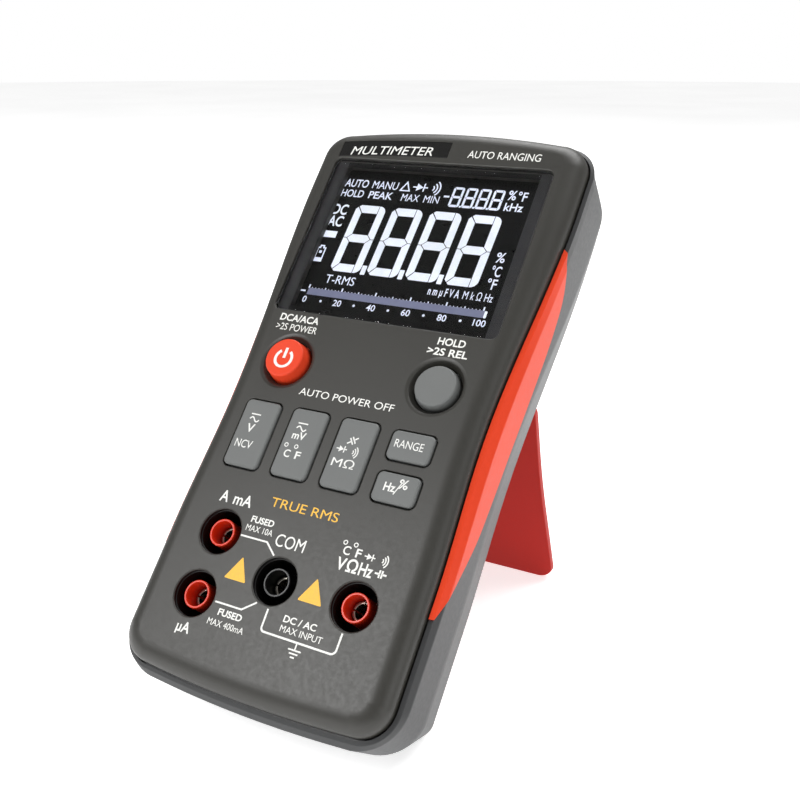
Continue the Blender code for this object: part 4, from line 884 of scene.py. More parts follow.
def lettering(bm, text, x, y, tall, z, width=None, weight=0.0, middle=False, slant=0.0):
    """Text as thin solids: base line at y, left end (or middle) at x, capitals tall high."""
    data = bpy.data.curves.new("text", "FONT")
    data.body = text
    data.size = tall / CAP
    data.shear = slant
    data.offset = 0.0 if set("MNW") & set(text) else weight
    data.resolution_u = 4
    data.extrude = 0.5
    obj = bpy.data.objects.new("text", data)
    bpy.context.scene.collection.objects.link(obj)
    mesh = evaluated(obj)
    xs = [v.co.x for v in mesh.vertices]
    left, span = min(xs), max(xs) - min(xs)
    stretch = width / span if width else 1.0
    start = x - span * stretch / 2.0 if middle else x
    for v in mesh.vertices:
        level = z + INK if v.co.z > 0.0 else z - INK_SINK
        v.co = Vector((start + (v.co.x - left) * stretch, y + v.co.y, level))
    bm.from_mesh(mesh)
    bpy.data.meshes.remove(mesh)
    return bm


def stroke(bm, points, wide, z, closed=False):
    """Thin printed line along points, mitred at its corners."""
    count = len(points)
    left, right = [], []
    for i, point in enumerate(points):
        here = Vector(point)
        before = Vector(points[i - 1]) if (i > 0 or closed) else None
        after = Vector(points[(i + 1) % count]) if (i < count - 1 or closed) else None
        d1 = (here - before).normalized() if before is not None else None
        d2 = (after - here).normalized() if after is not None else None
        d1 = d1 or d2
        d2 = d2 or d1
        n1, n2 = Vector((-d1.y, d1.x)), Vector((-d2.y, d2.x))
        side = (n1 + n2)
        side = side.normalized() if side.length > 0.01 else n1
        side *= wide / 2.0 / max(0.4, side.dot(n1))
        left.append(here + side)
        right.append(here - side)
    rings = []
    for a, b in zip(left, right):
        rings.append([(a.x, a.y, z - INK_SINK), (b.x, b.y, z - INK_SINK),
                      (b.x, b.y, z + INK), (a.x, a.y, z + INK)])
    return loft(rings, bm, closed)


def flat(bm, points, z):
    """Thin printed patch with the given outline."""
    return prism(points, z - INK_SINK, z + INK, bm)


def arc(x, y, radius, start, end, steps=16):
    points = []
    for i in range(steps + 1):
        a = math.radians(start + (end - start) * i / steps)
        points.append((x + radius * math.cos(a), y + radius * math.sin(a)))
    return points


def wave(x, y, wide, tall, steps=14):
    """Small sine: the alternating-current mark."""
    points = []
    for i in range(steps + 1):
        t = i / steps
        points.append((x - wide / 2.0 + wide * t, y + tall * math.sin(2.0 * math.pi * t)))
    return points


def ring_mark(bm, x, y, radius, wide, z):
    return stroke(bm, arc(x, y, radius, 0, 360 - 360 / 24, 23), wide, z, True)


def diode_mark(bm, x, y, size, z, wide=0.3):
    """Diode: a filled arrow head against a bar, with leads."""
    s = size
    flat(bm, [(x - s * 0.5, y - s * 0.62), (x + s * 0.5, y), (x - s * 0.5, y + s * 0.62)], z)
    stroke(bm, [(x + s * 0.62, y - s * 0.66), (x + s * 0.62, y + s * 0.66)], wide, z)
    stroke(bm, [(x - s * 1.1, y), (x - s * 0.5, y)], wide, z)
    stroke(bm, [(x + s * 0.62, y), (x + s * 1.2, y)], wide, z)


def sound_mark(bm, x, y, size, z, wide=0.28):
    """Three arcs: the continuity buzzer."""
    for k in range(3):
        stroke(bm, arc(x, y, size * (0.32 + 0.34 * k), -52, 52, 8), wide, z)


def capacitor_mark(bm, x, y, size, z, wide=0.35, turn=0.0):
    """Two plates with a lead on each."""
    for side in (-1.0, 1.0):
        ends = []
        for p in ((0.22 * side, -0.6), (0.22 * side, 0.6), (0.22 * side, 0.0), (side, 0.0)):
            ends.append((x + size * (p[0] * math.cos(turn) - p[1] * math.sin(turn)),
                         y + size * (p[0] * math.sin(turn) + p[1] * math.cos(turn))))
        stroke(bm, ends[:2], wide, z)
        stroke(bm, ends[2:], wide, z)


def current_mark(bm, x, y, wide, z, thick=0.36):
    """Straight bar over a wave."""
    stroke(bm, [(x - wide / 2.0, y + 0.75), (x + wide / 2.0, y + 0.75)], thick, z)
    stroke(bm, wave(x, y - 0.75, wide, 0.62), thick, z)


# ================================================================ display content
def digit(bm, x, y, wide, tall, post, bar, z, gap=0.11, round_to=2.2, cut=1.5, slant=0.026):
    """Seven separate segments of one figure, all lit."""
    half = tall / 2.0
    inner = wide - post
    tip = bar / 2.0
    corner = []
    for i in range(7):
        a = math.pi / 2.0 * i / 6
        corner.append((wide - round_to + round_to * math.cos(a),
                       tall - round_to + round_to * math.sin(a)))
    upper_right = [(inner + gap, half + tip + 0.6 * gap), (inner + gap + tip, half + gap),
                   (wide, half + gap)] + corner + [(inner + gap, tall)]
    upper_left = [(0.0, half + gap), (post - tip - gap, half + gap),
                  (post - gap, half + tip + 0.6 * gap), (post - gap, tall - bar - gap),
                  (cut * 0.42, tall - cut * 0.5), (0.0, tall - cut)]
    top = [(cut * 0.6, tall - cut * 0.36), (post + gap, tall - bar), (inner - gap, tall - bar),
           (inner - gap, tall), (cut, tall)]
    centre = [(post - tip + gap, half), (post + gap, half + tip), (inner - gap, half + tip),
              (inner + tip - gap, half), (inner - gap, half - tip), (post + gap, half - tip)]
    for shape in (upper_right, upper_left, top):
        flat(bm, [(x + px + slant * py, y + py) for px, py in shape], z)
        flat(bm, [(x + px + slant * (tall - py), y + tall - py) for px, py in shape], z)
    flat(bm, [(x + px + slant * py, y + py) for px, py in centre], z)


def display_content():
    """Every segment of the display, in three tones."""
    z = PANEL_TOP
    big, small, lilac = bmesh.new(), bmesh.new(), bmesh.new()
    for x in (-24.4, -12.2, 0.1, 12.3):
        digit(big, x, 34.3, 10.0, 22.7, 2.4, 2.6, z)
    for x in (-14.1, -1.95, 10.25):
        flat(big, rounded_rect((x + 0.75, 35.6, 1.5, 3.0), 0.2, 0.0, 2), z)
    stroke(big, [(-31.5, 46.2), (-26.8, 46.2)], 2.2, z)
    lettering(big, "DC", -31.5, 53.2, 3.4, z, 5.0, 0.1)
    lettering(big, "AC", -31.5, 49.1, 3.4, z, 5.0, 0.1)
    for text, x, y, tall, wide in (
            ("AUTO", -31.0, 63.1, 2.6, 8.0), ("MANU", -21.5, 63.1, 2.6, 8.5),
            ("HOLD", -31.0, 59.6, 2.4, 7.7), ("PEAK", -21.5, 59.6, 2.4, 8.0),
            ("MAX", -10.5, 59.6, 2.4, 5.7), ("MIN", -3.2, 59.6, 2.4, 4.8),
            ("T-RMS", -24.3, 30.2, 2.7, 9.7), ("n m µ F V A", 8.8, 30.6, 2.4, 9.4),
            ("M k Ω Hz", 19.3, 30.6, 2.4, 8.7), ("kHz", 22.0, 59.1, 2.5, 5.5),
            ("%", 22.0, 62.7, 3.0, 2.4), ("°F", 24.9, 62.5, 2.9, 2.8),
            ("%", 24.9, 42.8, 3.0, 2.6), ("°C", 24.9, 38.4, 3.1, 2.8),
            ("°F", 24.9, 34.4, 3.1, 2.8)):
        lettering(small, text, x, y, tall, z, wide, 0.05)
    stroke(small, [(-11.9, 63.1), (-10.4, 66.0), (-8.9, 63.1)], 0.4, z, True)
    diode_mark(small, -5.8, 64.6, 2.1, z, 0.4)
    sound_mark(small, -2.2, 64.6, 2.9, z, 0.42)
    for x in (4.9, 9.05, 13.2, 17.35):
        digit(small, x, 58.9, 3.4, 6.7, 0.75, 0.75, z, 0.06, 0.8, 0.5)
    for x in (8.75, 12.9, 17.05):
        flat(small, rounded_rect((x, 59.2, 0.6, 0.6), 0.1, 0.0, 2), z)
    stroke(small, [(2.7, 62.2), (4.4, 62.2)], 0.6, z)
    stroke(small, [(-31.0, 36.9), (-28.5, 36.9), (-28.5, 41.4), (-29.2, 41.4), (-29.2, 42.1),
                   (-30.3, 42.1), (-30.3, 41.4), (-31.0, 41.4)], 0.42, z, True)
    stroke(small, [(-31.0, 37.5), (-28.5, 37.5)], 1.1, z)
    flat(small, rounded_rect((-29.75, 40.0, 0.9, 0.9), 0.2, 0.0, 2), z)
    flat(lilac, [(-28.5, 25.75), (27.0, 25.75), (27.0, 27.9), (-28.5, 27.9)], z)
    flat(big, rounded_rect((27.45, 26.8, 0.8, 2.15), 0.3, 0.0, 3), z)
    stroke(small, [(-31.3, 26.8), (-29.3, 26.8)], 0.5, z)
    long_tick = box(-0.22, 0.22, 0.0, 1.15, z - INK_SINK, z + INK)
    short_tick = box(-0.16, 0.16, 0.0, 0.6, z - INK_SINK, z + INK)
    spots = [(-28.5 + 5.51 * k, 27.85, 0.0) for k in range(11)]
    fine_spots = [(-28.5 + 1.102 * k, 27.85, 0.0) for k in range(51) if k % 5]
    fine_tick = box(-0.1, 0.1, 0.0, 0.3, z - INK_SINK, z + INK)
    ticks = together(copies(long_tick, spots[::2], segment_small),
                     copies(short_tick, spots[1::2], segment_small),
                     copies(fine_tick, fine_spots, segment_small))
    for k in range(6):
        lettering(small, str(20 * k), -28.5 + 11.02 * k, 23.2, 1.9, z, None, 0.03, True)
    for k in range(5):
        flat(small, circle(-28.5 + 5.51 + 11.02 * k, 24.1, 0.4, 14), z)
    piece("display_figures", big, segment_white, "meter")
    piece("display_marks", small, segment_small, "meter")
    piece("display_bar", lilac, segment_lilac, "meter")
    piece("display_ticks", ticks, segment_small, "meter")


def window_parts():
    """Clear window with its printed border, and the dark panel behind it."""
    x, y, w, h = WINDOW
    outer = (x, y, w - 2.0 * GAP, h - 2.0 * GAP)
    rings = [at_level(rounded_rect(outer, WINDOW_R - GAP, -0.25), LENS_LOW),
             at_level(rounded_rect(outer, WINDOW_R - GAP), LENS_LOW + 0.25),
             at_level(rounded_rect(outer, WINDOW_R - GAP), LENS_TOP - 0.3),
             at_level(rounded_rect(outer, WINDOW_R - GAP, -0.06), LENS_TOP - 0.1),
             at_level(rounded_rect(outer, WINDOW_R - GAP, -0.22), LENS_TOP)]
    piece("window_lens", loft(rings), acrylic, "meter", ["display_lens"])
    border = bmesh.new()
    side = w / 2.0 - 4.0
    for sign in (-1.0, 1.0):
        edge, inner = sign * (w / 2.0 - 0.6), sign * side
        points = [(min(edge, inner), y - h / 2.0 + 0.6), (max(edge, inner), y - h / 2.0 + 0.6),
                  (max(edge, inner), y + h / 2.0 - 0.6), (min(edge, inner), y + h / 2.0 - 0.6)]
        prism(points, LENS_LOW - 0.06, LENS_LOW - 0.01, border)
    piece("window_border", border, border_grey, "meter")
    ends = bmesh.new()
    for sign in (-1.0, 1.0):
        edge, inner = y + sign * (h / 2.0 - 0.6), y + sign * (h / 2.0 - 2.3)
        points = [(-side, min(edge, inner)), (side, min(edge, inner)),
                  (side, max(edge, inner)), (-side, max(edge, inner))]
        prism(points, LENS_LOW - 0.06, LENS_LOW - 0.01, ends)
    piece("window_ends", ends, panel_black, "meter")
    glass = loft([at_level(rounded_rect((0.0, y, GLASS_W, GLASS_H), 0.3, -0.2), PANEL_TOP - 2.0),
                  at_level(rounded_rect((0.0, y, GLASS_W, GLASS_H), 0.3), PANEL_TOP - 1.8),
                  at_level(rounded_rect((0.0, y, GLASS_W, GLASS_H), 0.3), PANEL_TOP - 0.12),
                  at_level(rounded_rect((0.0, y, GLASS_W, GLASS_H), 0.3, -0.12), PANEL_TOP)])
    piece("display_glass", glass, panel_black, "meter", ["lcd_panel"])


# ================================================================ keys
def tall_key_mesh(place):
    """Rectangular key: flange and stem below, softly rounded cap above."""
    x, y, w, h = place
    under = -WALL - KEY_GAP
    low = under - 1.0
    stem = (x, y, 4.4, 4.4)
    skirt = (x, y, w + 1.8, h + 1.8)
    rings = [at_level(rounded_rect(stem, 2.15), BOARD_TOP + 5.1),
             at_level(rounded_rect(stem, 2.15), low),
             at_level(rounded_rect(skirt, KEY_R), low),
             at_level(rounded_rect(skirt, KEY_R), under),
             at_level(rounded_rect(place, KEY_R), under)]
    edge = 0.62
    for i in range(8):
        a = math.pi / 2.0 * i / 7
        inset = edge * (1.0 - math.cos(a))
        rings.append(at_level(rounded_rect(place, KEY_R, -inset),
                              KEY_PROUD - 0.05 - edge * (1.0 - math.sin(a))))
    rings.append(at_level(rounded_rect(place, KEY_R, -edge - 1.2), KEY_PROUD))
    return loft(rings)


def round_key_mesh(x, y, proud, edge):
    """Round key: tapering side, rolled shoulder, faintly dished top."""
    under = -LEDGE_SKIRT
    profile = [(2.2, BOARD_TOP + 5.1), (2.2, under - 1.0), (7.1, under - 1.0), (7.1, under),
               (6.2, under), (6.2, DISH_Z)]
    top_r = 5.72
    for i in range(9):
        a = math.pi / 2.0 * i / 8
        profile.append((top_r - edge * (1.0 - math.cos(a)), proud - edge * (1.0 - math.sin(a))))
    profile.append((top_r - edge - 0.5, proud - 0.015))
    profile.append((0.4, proud - 0.16))
    return turned(x, y, profile, 96)


LEDGE_SKIRT = 4.4


def key_legends():
    """Raised legends, one mesh for each key."""
    z = KEY_PROUD
    volts, milli, ohms = bmesh.new(), bmesh.new(), bmesh.new()
    current_mark(volts, -24.9, -15.05, 3.0, z)
    lettering(volts, "V", -26.2, -19.5, 2.3, z, 2.4, 0.06)
    lettering(volts, "NCV", -27.8, -24.1, 2.2, z, 5.4, 0.06)
    current_mark(milli, -9.7, -14.95, 3.0, z)
    lettering(milli, "mV", -11.6, -18.7, 2.0, z, 4.1, 0.06)
    for x, text, left, wide in ((-12.2, "C", -12.0, 1.9), (-9.1, "F", -8.5, 1.6)):
        ring_mark(milli, x, -20.75, 0.5, 0.25, z)
        lettering(milli, text, left, -24.0, 2.0, z, wide, 0.05)
    capacitor_mark(ohms, 6.3, -16.0, 1.7, z, 0.36, math.radians(35))
    diode_mark(ohms, 4.0, -18.7, 1.35, z, 0.3)
    sound_mark(ohms, 7.0, -19.0, 1.9, z, 0.3)
    lettering(ohms, "MΩ", 2.6, -23.5, 2.2, z, 6.6, 0.06)
    spread_key, hertz = bmesh.new(), bmesh.new()
    lettering(spread_key, "RANGE", 17.9, -15.2, 2.1, z, 8.1, 0.07)
    lettering(hertz, "Hz", 19.2, -26.7, 2.1, z, 3.2, 0.07)
    lettering(hertz, "%", 23.0, -25.5, 2.4, z, 2.5, 0.05)
    stroke(hertz, [(22.3, -27.3), (24.0, -23.4)], 0.28, z)
    power, hold = bmesh.new(), bmesh.new()
    x, y, proud = ROUND_KEYS["key_power"]
    stroke(power, arc(x, y - 0.35, 2.55, 90 + 34, 450 - 34, 36), 0.85, proud - 0.1)
    stroke(power, [(x, y - 0.2), (x, y + 2.9)], 0.85, proud - 0.1)
    x, y, proud = ROUND_KEYS["key_hold"]
    ring_mark(hold, x, y, 1.5, 0.4, proud - 0.1)
    return {"key_volts": volts, "key_millivolts": milli, "key_ohms": ohms,
            "key_range": spread_key, "key_hertz": hertz, "key_power": power, "key_hold": hold}


def keys():
    legends = key_legends()
    for name, place in TALL_KEYS.items():
        label = name.replace("key_", "")
        body = KEY_BODY % name
        piece("cap_" + label, tall_key_mesh(place), key_rubber, body, [name],
              sharp=50)
        piece("legend_" + label, legends[name], ink_key, body)
    for name, (x, y, proud) in ROUND_KEYS.items():
        label = name.replace("key_", "")
        body = KEY_BODY % name
        power = name == "key_power"
        mat = power_rubber if power else key_rubber
        piece("cap_" + label, round_key_mesh(x, y, proud, 0.55), mat, body, [name], sharp=50)
        if power:
            piece("legend_" + label, legends[name], ink_key, body)
        else:
            legends[name].free()


# ================================================================ sockets
def socket_parts():
    """Insulating collar and split metal sleeve of each socket."""
    foot = BOARD_TOP + GAP
    for name, (x, y) in SOCKETS.items():
        section = [(COLLAR_BORE, foot), (5.2, foot), (5.2, -14.8), (COLLAR_R, -14.8)]
        for i in range(6):
            a = math.pi / 2.0 * i / 5
            section.append((COLLAR_R - 0.22 * (1 - math.cos(a)),
                            COLLAR_Z - 0.22 * (1 - math.sin(a))))
        section += [(COLLAR_BORE + 0.14, COLLAR_Z), (COLLAR_BORE + 0.03, COLLAR_Z - 0.06),
                    (COLLAR_BORE, COLLAR_Z - 0.18)]
        rings = [at_level(circle(x, y, r), z) for r, z in section]
        black = name == "com"
        piece("collar_" + name, loft(rings, None, True), collar_black if black else collar_red,
              "meter", ["jack_collar_" + name],
              sharp=50)
        base = BOARD_BOTTOM - GAP
        section = [(SLEEVE_BORE, base - 0.5), (4.0, base - 0.5), (4.0, base), (SLEEVE_R, base),
                   (SLEEVE_R, SLEEVE_Z - 0.15), (SLEEVE_R - 0.12, SLEEVE_Z),
                   (SLEEVE_BORE + 0.25, SLEEVE_Z), (SLEEVE_BORE + 0.06, SLEEVE_Z - 0.14),
                   (SLEEVE_BORE, SLEEVE_Z - 0.4)]
        barrel = loft([at_level(circle(x, y, r, 64), z) for r, z in section], None, True)
        slits = [("DIFFERENCE", box(x - 0.25, x + 0.25, y - 4.4, y + 4.4, -10.5, -3.0)),
                 ("DIFFERENCE", box(x - 4.4, x + 4.4, y - 0.25, y + 0.25, -10.5, -3.0))]
        piece("contact_" + name, carved(barrel, slits), nickel, "meter", ["jack_sleeve_" + name],
              sharp=40)


# ================================================================ face prints
def face_prints():
    """White and yellow prints on the face, and the strip over the display."""
    z = 0.0
    white, yellow = bmesh.new(), bmesh.new()
    for text, x, y, tall, wide in (
            ("DCA/ACA", -30.8, 14.85, 2.05, 12.8), (">2S POWER", -31.0, 11.9, 2.05, 13.5),
            ("HOLD", 19.1, 14.6, 2.0, 7.9), (">2S REL", 17.0, 11.6, 2.0, 11.6),
            ("AUTO POWER OFF", -15.2, -6.1, 2.0, 29.0), ("A", -25.9, -39.3, 3.0, 2.7),
            ("mA", -21.5, -39.3, 3.0, 5.7), ("COM", -4.8, -46.9, 3.2, 8.7),
            ("µA", -22.9, -73.9, 2.6, 4.1), ("FUSED", -14.0, -42.6, 1.6, 7.0),
            ("MAX 10A", -14.6, -45.0, 1.6, 8.2), ("FUSED", -12.8, -67.2, 1.6, 7.2),
            ("MAX 400mA", -14.8, -70.0, 1.6, 11.0), ("AUTO RANGING", 7.6, 73.0, 2.4, 22.0)):
        lettering(white, text, x, y, tall, z, wide, 0.06)
    lettering(white, "V", 13.9, -48.3, 3.0, z, 2.6, 0.08)
    lettering(white, "Ω", 16.8, -48.3, 3.0, z, 3.0, 0.08)
    lettering(white, "Hz", 20.3, -48.3, 3.0, z, 3.7, 0.08)
    capacitor_mark(white, 26.2, -46.8, 1.6, z, 0.45)
    for x, text, left, wide in ((14.3, "C", 14.4, 2.0), (17.3, "F", 18.0, 1.5)):
        ring_mark(white, x, -41.5, 0.5, 0.25, z)
        lettering(white, text, left, -44.4, 2.1, z, wide, 0.05)
    diode_mark(white, 21.9, -43.5, 1.3, z, 0.3)
    sound_mark(white, 25.1, -43.6, 1.9, z, 0.32)
    stroke(white, [(-15.2, -46.6), (-7.0, -46.6), (-3.6, -49.4)], 0.45, z)
    stroke(white, [(-14.8, -64.3), (-6.7, -64.3), (-3.2, -61.6)], 0.45, z)
    bracket = [(0.5, -62.2), (0.6, -66.6)] + arc(1.6, -66.7, 1.0, 180, 270, 5)
    bracket += arc(20.7, -66.5, 1.3, 270, 360, 6) + [(22.0, -62.5)]
    stroke(white, bracket, 0.5, z)
    for k in range(3):
        y = -69.6 - 0.85 * k
        reach = 1.8 - 0.6 * k
        stroke(white, [(11.5 - reach, y), (11.5 + reach, y)], 0.36, z)
    stroke(white, [(11.5, -69.6), (11.5, -67.9)], 0.36, z)
    lettering(white, "MAX INPUT", 5.6, -66.4, 1.6, z, 12.0, 0.05)
    lettering(white, "DC / AC", 5.6, -64.0, 1.6, z, 9.4, 0.05)
    lettering(yellow, "TRUE RMS", -10.3, -37.4, 2.4, z, 20.3, 0.12)
    for tip, low_left, low_right in (((-11.95, -51.8), (-15.2, -58.0), (-8.55, -58.0)),
                                     ((10.6, -51.8), (7.15, -58.05), (14.1, -58.1))):
        flat(yellow, filleted([tip, low_left, low_right], 0.5, 4), z)
    piece("face_lettering", white, ink_white, "meter")
    piece("face_yellow", yellow, ink_yellow, "meter")
    strip = loft([at_level(plate_outline(0.0), -0.7), at_level(plate_outline(0.0), -0.06),
                  at_level(plate_outline(-0.05), 0.0)])
    piece("title_strip", strip, plate_black, "meter", ["name_plate"])
    title = bmesh.new()
    lettering(title, "MULTIMETER", -30.6, 72.6, 2.9, z, 27.0, 0.05, False, 0.12)
    for v in title.verts:
        v.co.y -= 1.5 * (v.co.x / -34.3) ** 2 - 0.35
    piece("title_lettering", title, ink_white, "meter")


# ================================================================ stand, door and screws
STAND_OPEN = math.radians(58.5)
STAND_IN, STAND_T = 2.4, 2.4
KNUCKLE_R, KNUCKLE_HALF = 3.6, 19.7


def swung(along, out):
    """Meter-frame (y, z) on the open stand: along it, and out from the hinge."""
    y = HINGE_Y - along * math.cos(STAND_OPEN) + out * math.sin(STAND_OPEN)
    z = HINGE_Z - along * math.sin(STAND_OPEN) - out * math.cos(STAND_OPEN)
    return y, z


def stand_length(out):
    """Length of the stand to the floor at a given distance out from the hinge."""
    rake = STAND_OPEN - LEAN
    rise = HINGE_Y * math.cos(LEAN) + HINGE_Z * math.sin(LEAN) - GROUND
    return (rise + out * math.sin(rake)) / math.cos(rake)


def stand_levels(plan, outs):
    """Solid through plan outlines (x, along) at several distances out from the hinge."""
    rings = []
    for points, out in zip(plan, outs):
        rings.append([(x,) + swung(along, out) for x, along in points])
    return loft(rings)


def stand_plan(out, inset):
    """Outline of the stand plate, drawn in by inset on all but the foot's cut."""
    end = stand_length(out)
    half = [(KNUCKLE_HALF - inset, 0.8 + inset), (KNUCKLE_HALF - inset, 8.0 + inset),
            (27.0 - inset, 11.0 + inset), (30.6 - inset, 14.5 + inset),
            (30.3 - inset, 42.0), (32.1 - inset, end - 3.0 - inset),
            (29.0 - inset, end - inset * 0.4)]
    plan = half + [(-x, along) for x, along in reversed(half)]
    radii = [0.2, 2.5, 3.5, 3.0, 12.0, 3.0, 3.0]
    return filleted(plan, radii + radii[::-1], 6)


def stand():
    """Folding stand: rimmed plate with cross ribs, hinge barrel and level foot."""
    top = STAND_IN + STAND_T
    outs = [STAND_IN, STAND_IN + 0.12, STAND_IN + 0.4, top - 0.4, top - 0.12, top]
    insets = [0.4, 0.12, 0.0, 0.0, 0.12, 0.4]
    plate = stand_levels([stand_plan(o, i) for o, i in zip(outs, insets)], outs)
    barrel = turned_across(HINGE_Y, HINGE_Z, [
        (KNUCKLE_R - 0.3, -KNUCKLE_HALF), (KNUCKLE_R, -KNUCKLE_HALF + 0.3),
        (KNUCKLE_R, KNUCKLE_HALF - 0.3), (KNUCKLE_R - 0.3, KNUCKLE_HALF)], 64)
    bore = turned_across(HINGE_Y, HINGE_Z, [(1.5, -23.0), (1.5, 23.0)], 32)
    pockets = []
    ends = [(15.5, 30.0), (32.0, 46.5), (48.5, 63.0), (65.0, stand_length(top) - 7.5)]
    for start, stop in ends:
        shape = rounded_rect((0.0, (start + stop) / 2.0, 50.0, stop - start), 2.4, 0.0, 6)
        wider = rounded_rect((0.0, (start + stop) / 2.0, 50.6, stop - start + 0.6), 2.7, 0.0, 6)
        pockets.append(stand_levels([shape, shape, wider, wider],
                                    [top - 0.9, top - 0.8, top - 0.1, top + 2.0]))
    nail = rounded_rect((0.0, stand_length(STAND_IN) - 6.0, 18.0, 5.0), 2.0, 0.0, 6)
    mesh = carved(plate, [
        ("UNION", barrel), ("DIFFERENCE", bore), ("DIFFERENCE", together(*pockets)),
        ("DIFFERENCE", stand_levels([nail, nail], [STAND_IN - 2.0, STAND_IN + 0.6])),
    ])
    piece("stand_plate", mesh, stand_red_painted_shade, "stand", ["kickstand"],
          sharp=30, bevel=0.12)


def battery_door():
    """Battery door with a shallow finger recess, grip ribs and a seat for its screw."""
    low = BACK_Z
    rings = [at_level(door_path(0.0), low + 1.6), at_level(door_path(0.0), low + 0.3),
             at_level(door_path(-0.1), low + 0.08), at_level(door_path(-0.35), low)]
    boss = turned(0.0, -49.0, [(4.0, low + 0.8), (4.0, low + 3.6)])
    seat = turned(0.0, -49.0, [(3.3, low - 3.0), (3.1, low + 0.2), (2.8, low + 0.35),
                               (2.8, low + 2.1)])
    hole = turned(0.0, -49.0, [(1.4, low - 2.0), (1.4, low + 6.0)], 32)
    groove = []
    for k in range(7):
        place = (0.0, -22.0 - 2.2 * k, 30.0 - 1.6 * k, 0.9)
        groove.append(prism(rounded_rect(place, 0.44, 0.0, 5), low - 1.0, low + 0.4))
    mesh = carved(loft(rings), [("UNION", boss), ("DIFFERENCE", seat), ("DIFFERENCE", hole),
                                ("DIFFERENCE", together(*groove))])
    piece("cell_door", mesh, door_plastic, "meter", ["battery_door"], sharp=40)


def screw_mesh(x, y, head_z, head_r, head_t, shaft_r, tip_z):
    """Pan-head screw driven in from the back, with a cross recess and a thread."""
    low = head_z - head_t
    profile = [(head_r * 0.3, low - 0.0), (head_r * 0.62, low + 0.04), (head_r * 0.86, low + 0.2),
               (head_r, low + 0.55), (head_r, head_z - 0.08), (head_r - 0.08, head_z)]
    z = head_z
    profile.append((shaft_r, z))
    while z < tip_z - shaft_r - 0.9:
        profile += [(shaft_r, z + 0.35), (shaft_r * 0.76, z + 0.6)]
        z += 0.9
    profile += [(shaft_r, tip_z - shaft_r), (shaft_r * 0.3, tip_z)]
    cross = []
    for w, h in ((3.0, 0.7), (0.7, 3.0)):
        cross.append(box(x - w / 2.0, x + w / 2.0, y - h / 2.0, y + h / 2.0, low - 1.0, low + 0.8))
    return carved(turned(x, y, profile, 36), [("DIFFERENCE", bm) for bm in cross])


def screws():
    """Case screws as copies of one screw, and the door screw."""
    one = screw_mesh(0.0, 0.0, -34.8, 2.9, 1.8, 1.35, -9.0)
    mesh = copies(one, [(x, y, 0.0) for x, y in CASE_SCREWS], zinc, 3.0)
    piece("shell_screws", mesh, zinc, "meter", ["case_screw_%d" % k for k in range(1, 5)],
          sharp=30)
    one = screw_mesh(0.0, -49.0, BACK_Z + 1.8, 2.5, 1.5, 1.1, -28.0)
    piece("door_fastener", one, zinc, "meter", ["door_screw"], sharp=30)


# ================================================================ finishes of hidden parts
def board_finish():
    """Solder mask with runs of copper showing through and speckled pads."""
    mat, nodes, links, shader = new_material("board_laminate_finish")
    vector = coordinates(nodes, links, (1.0, 1.0, 1.0))
    cells = nodes.new("ShaderNodeTexVoronoi")
    cells.distance = "MANHATTAN"
    cells.feature = "F1"
    cells.inputs["Scale"].default_value = 260.0
    links.new(vector, cells.inputs["Vector"])
    runs = between(nodes, links, cells.outputs["Distance"], linear(28, 110, 58),
                   linear(14, 74, 38), 0.42, 0.5)
    cloud = noise_node(nodes, links, vector, 90.0)
    tint = nodes.new("ShaderNodeMix")
    tint.data_type = "RGBA"
    tint.blend_type = "MULTIPLY"
    tint.inputs["Factor"].default_value = 0.3
    links.new(runs, tint.inputs["A"])
    links.new(between(nodes, links, cloud, (0.6, 0.6, 0.6, 1.0), (1.0, 1.0, 1.0, 1.0)),
              tint.inputs["B"])
    links.new(tint.outputs["Result"], shader.inputs["Base Color"])
    shader.inputs["Roughness"].default_value = 0.35
    bump = nodes.new("ShaderNodeBump")
    bump.inputs["Strength"].default_value = 0.2
    bump.inputs["Distance"].default_value = 0.0001
    links.new(cells.outputs["Distance"], bump.inputs["Height"])
    links.new(bump.outputs["Normal"], shader.inputs["Normal"])
    return mat


def hidden_finishes():
    """Procedural finishes for the frame parts that stay as they are."""
    finishes = {
        "board_laminate": board_finish(),
        "antenna_copper": plated("antenna_copper_finish", linear(205, 132, 82), 0.3),
        "backlight_diffuser": moulded("backlight_finish", linear(232, 236, 240), 0.4, 900.0),
        "buzzer_plastic": moulded("buzzer_finish", linear(24, 24, 25), 0.4, 1500.0),
        "carrier_white_plastic": moulded("carrier_finish", linear(222, 221, 214), 0.5, 1600.0),
        "cell_sleeve": moulded("cell_finish", linear(70, 78, 96), 0.34, 500.0, 0.03, 0.14),
        "chip_epoxy": moulded("chip_finish", linear(30, 30, 32), 0.55, 4200.0, 0.2),
        "fuse_ceramic": moulded("fuse_finish", linear(230, 227, 217), 0.35, 1100.0, 0.04),
        "switch_plastic": moulded("switch_finish", linear(32, 32, 33), 0.42, 2200.0),
        "contact_metal": nickel,
        "screw_steel": zinc,
        "front_shell_plastic": front_plastic,
        "rear_shell_plastic": rear_plastic,
        "door_plastic": door_plastic,
        "grip_plastic_red": grip_plastic,
        "stand_plastic_red": stand_red_painted_shade,
        "key_plastic_grey": key_rubber,
        "key_plastic_red": power_rubber,
        "jack_plastic_red": collar_red,
        "jack_plastic_black": collar_black,
        "lens_acrylic": acrylic,
        "lcd_black": panel_black,
        "name_plate_black": plate_black,
    }
    for obj in frame["nodes"].values():
        for spot in obj.material_slots:
            kind = spot.material.name.split(".")[0] if spot.material else ""
            if kind in finishes:
                spot.material = finishes[kind]


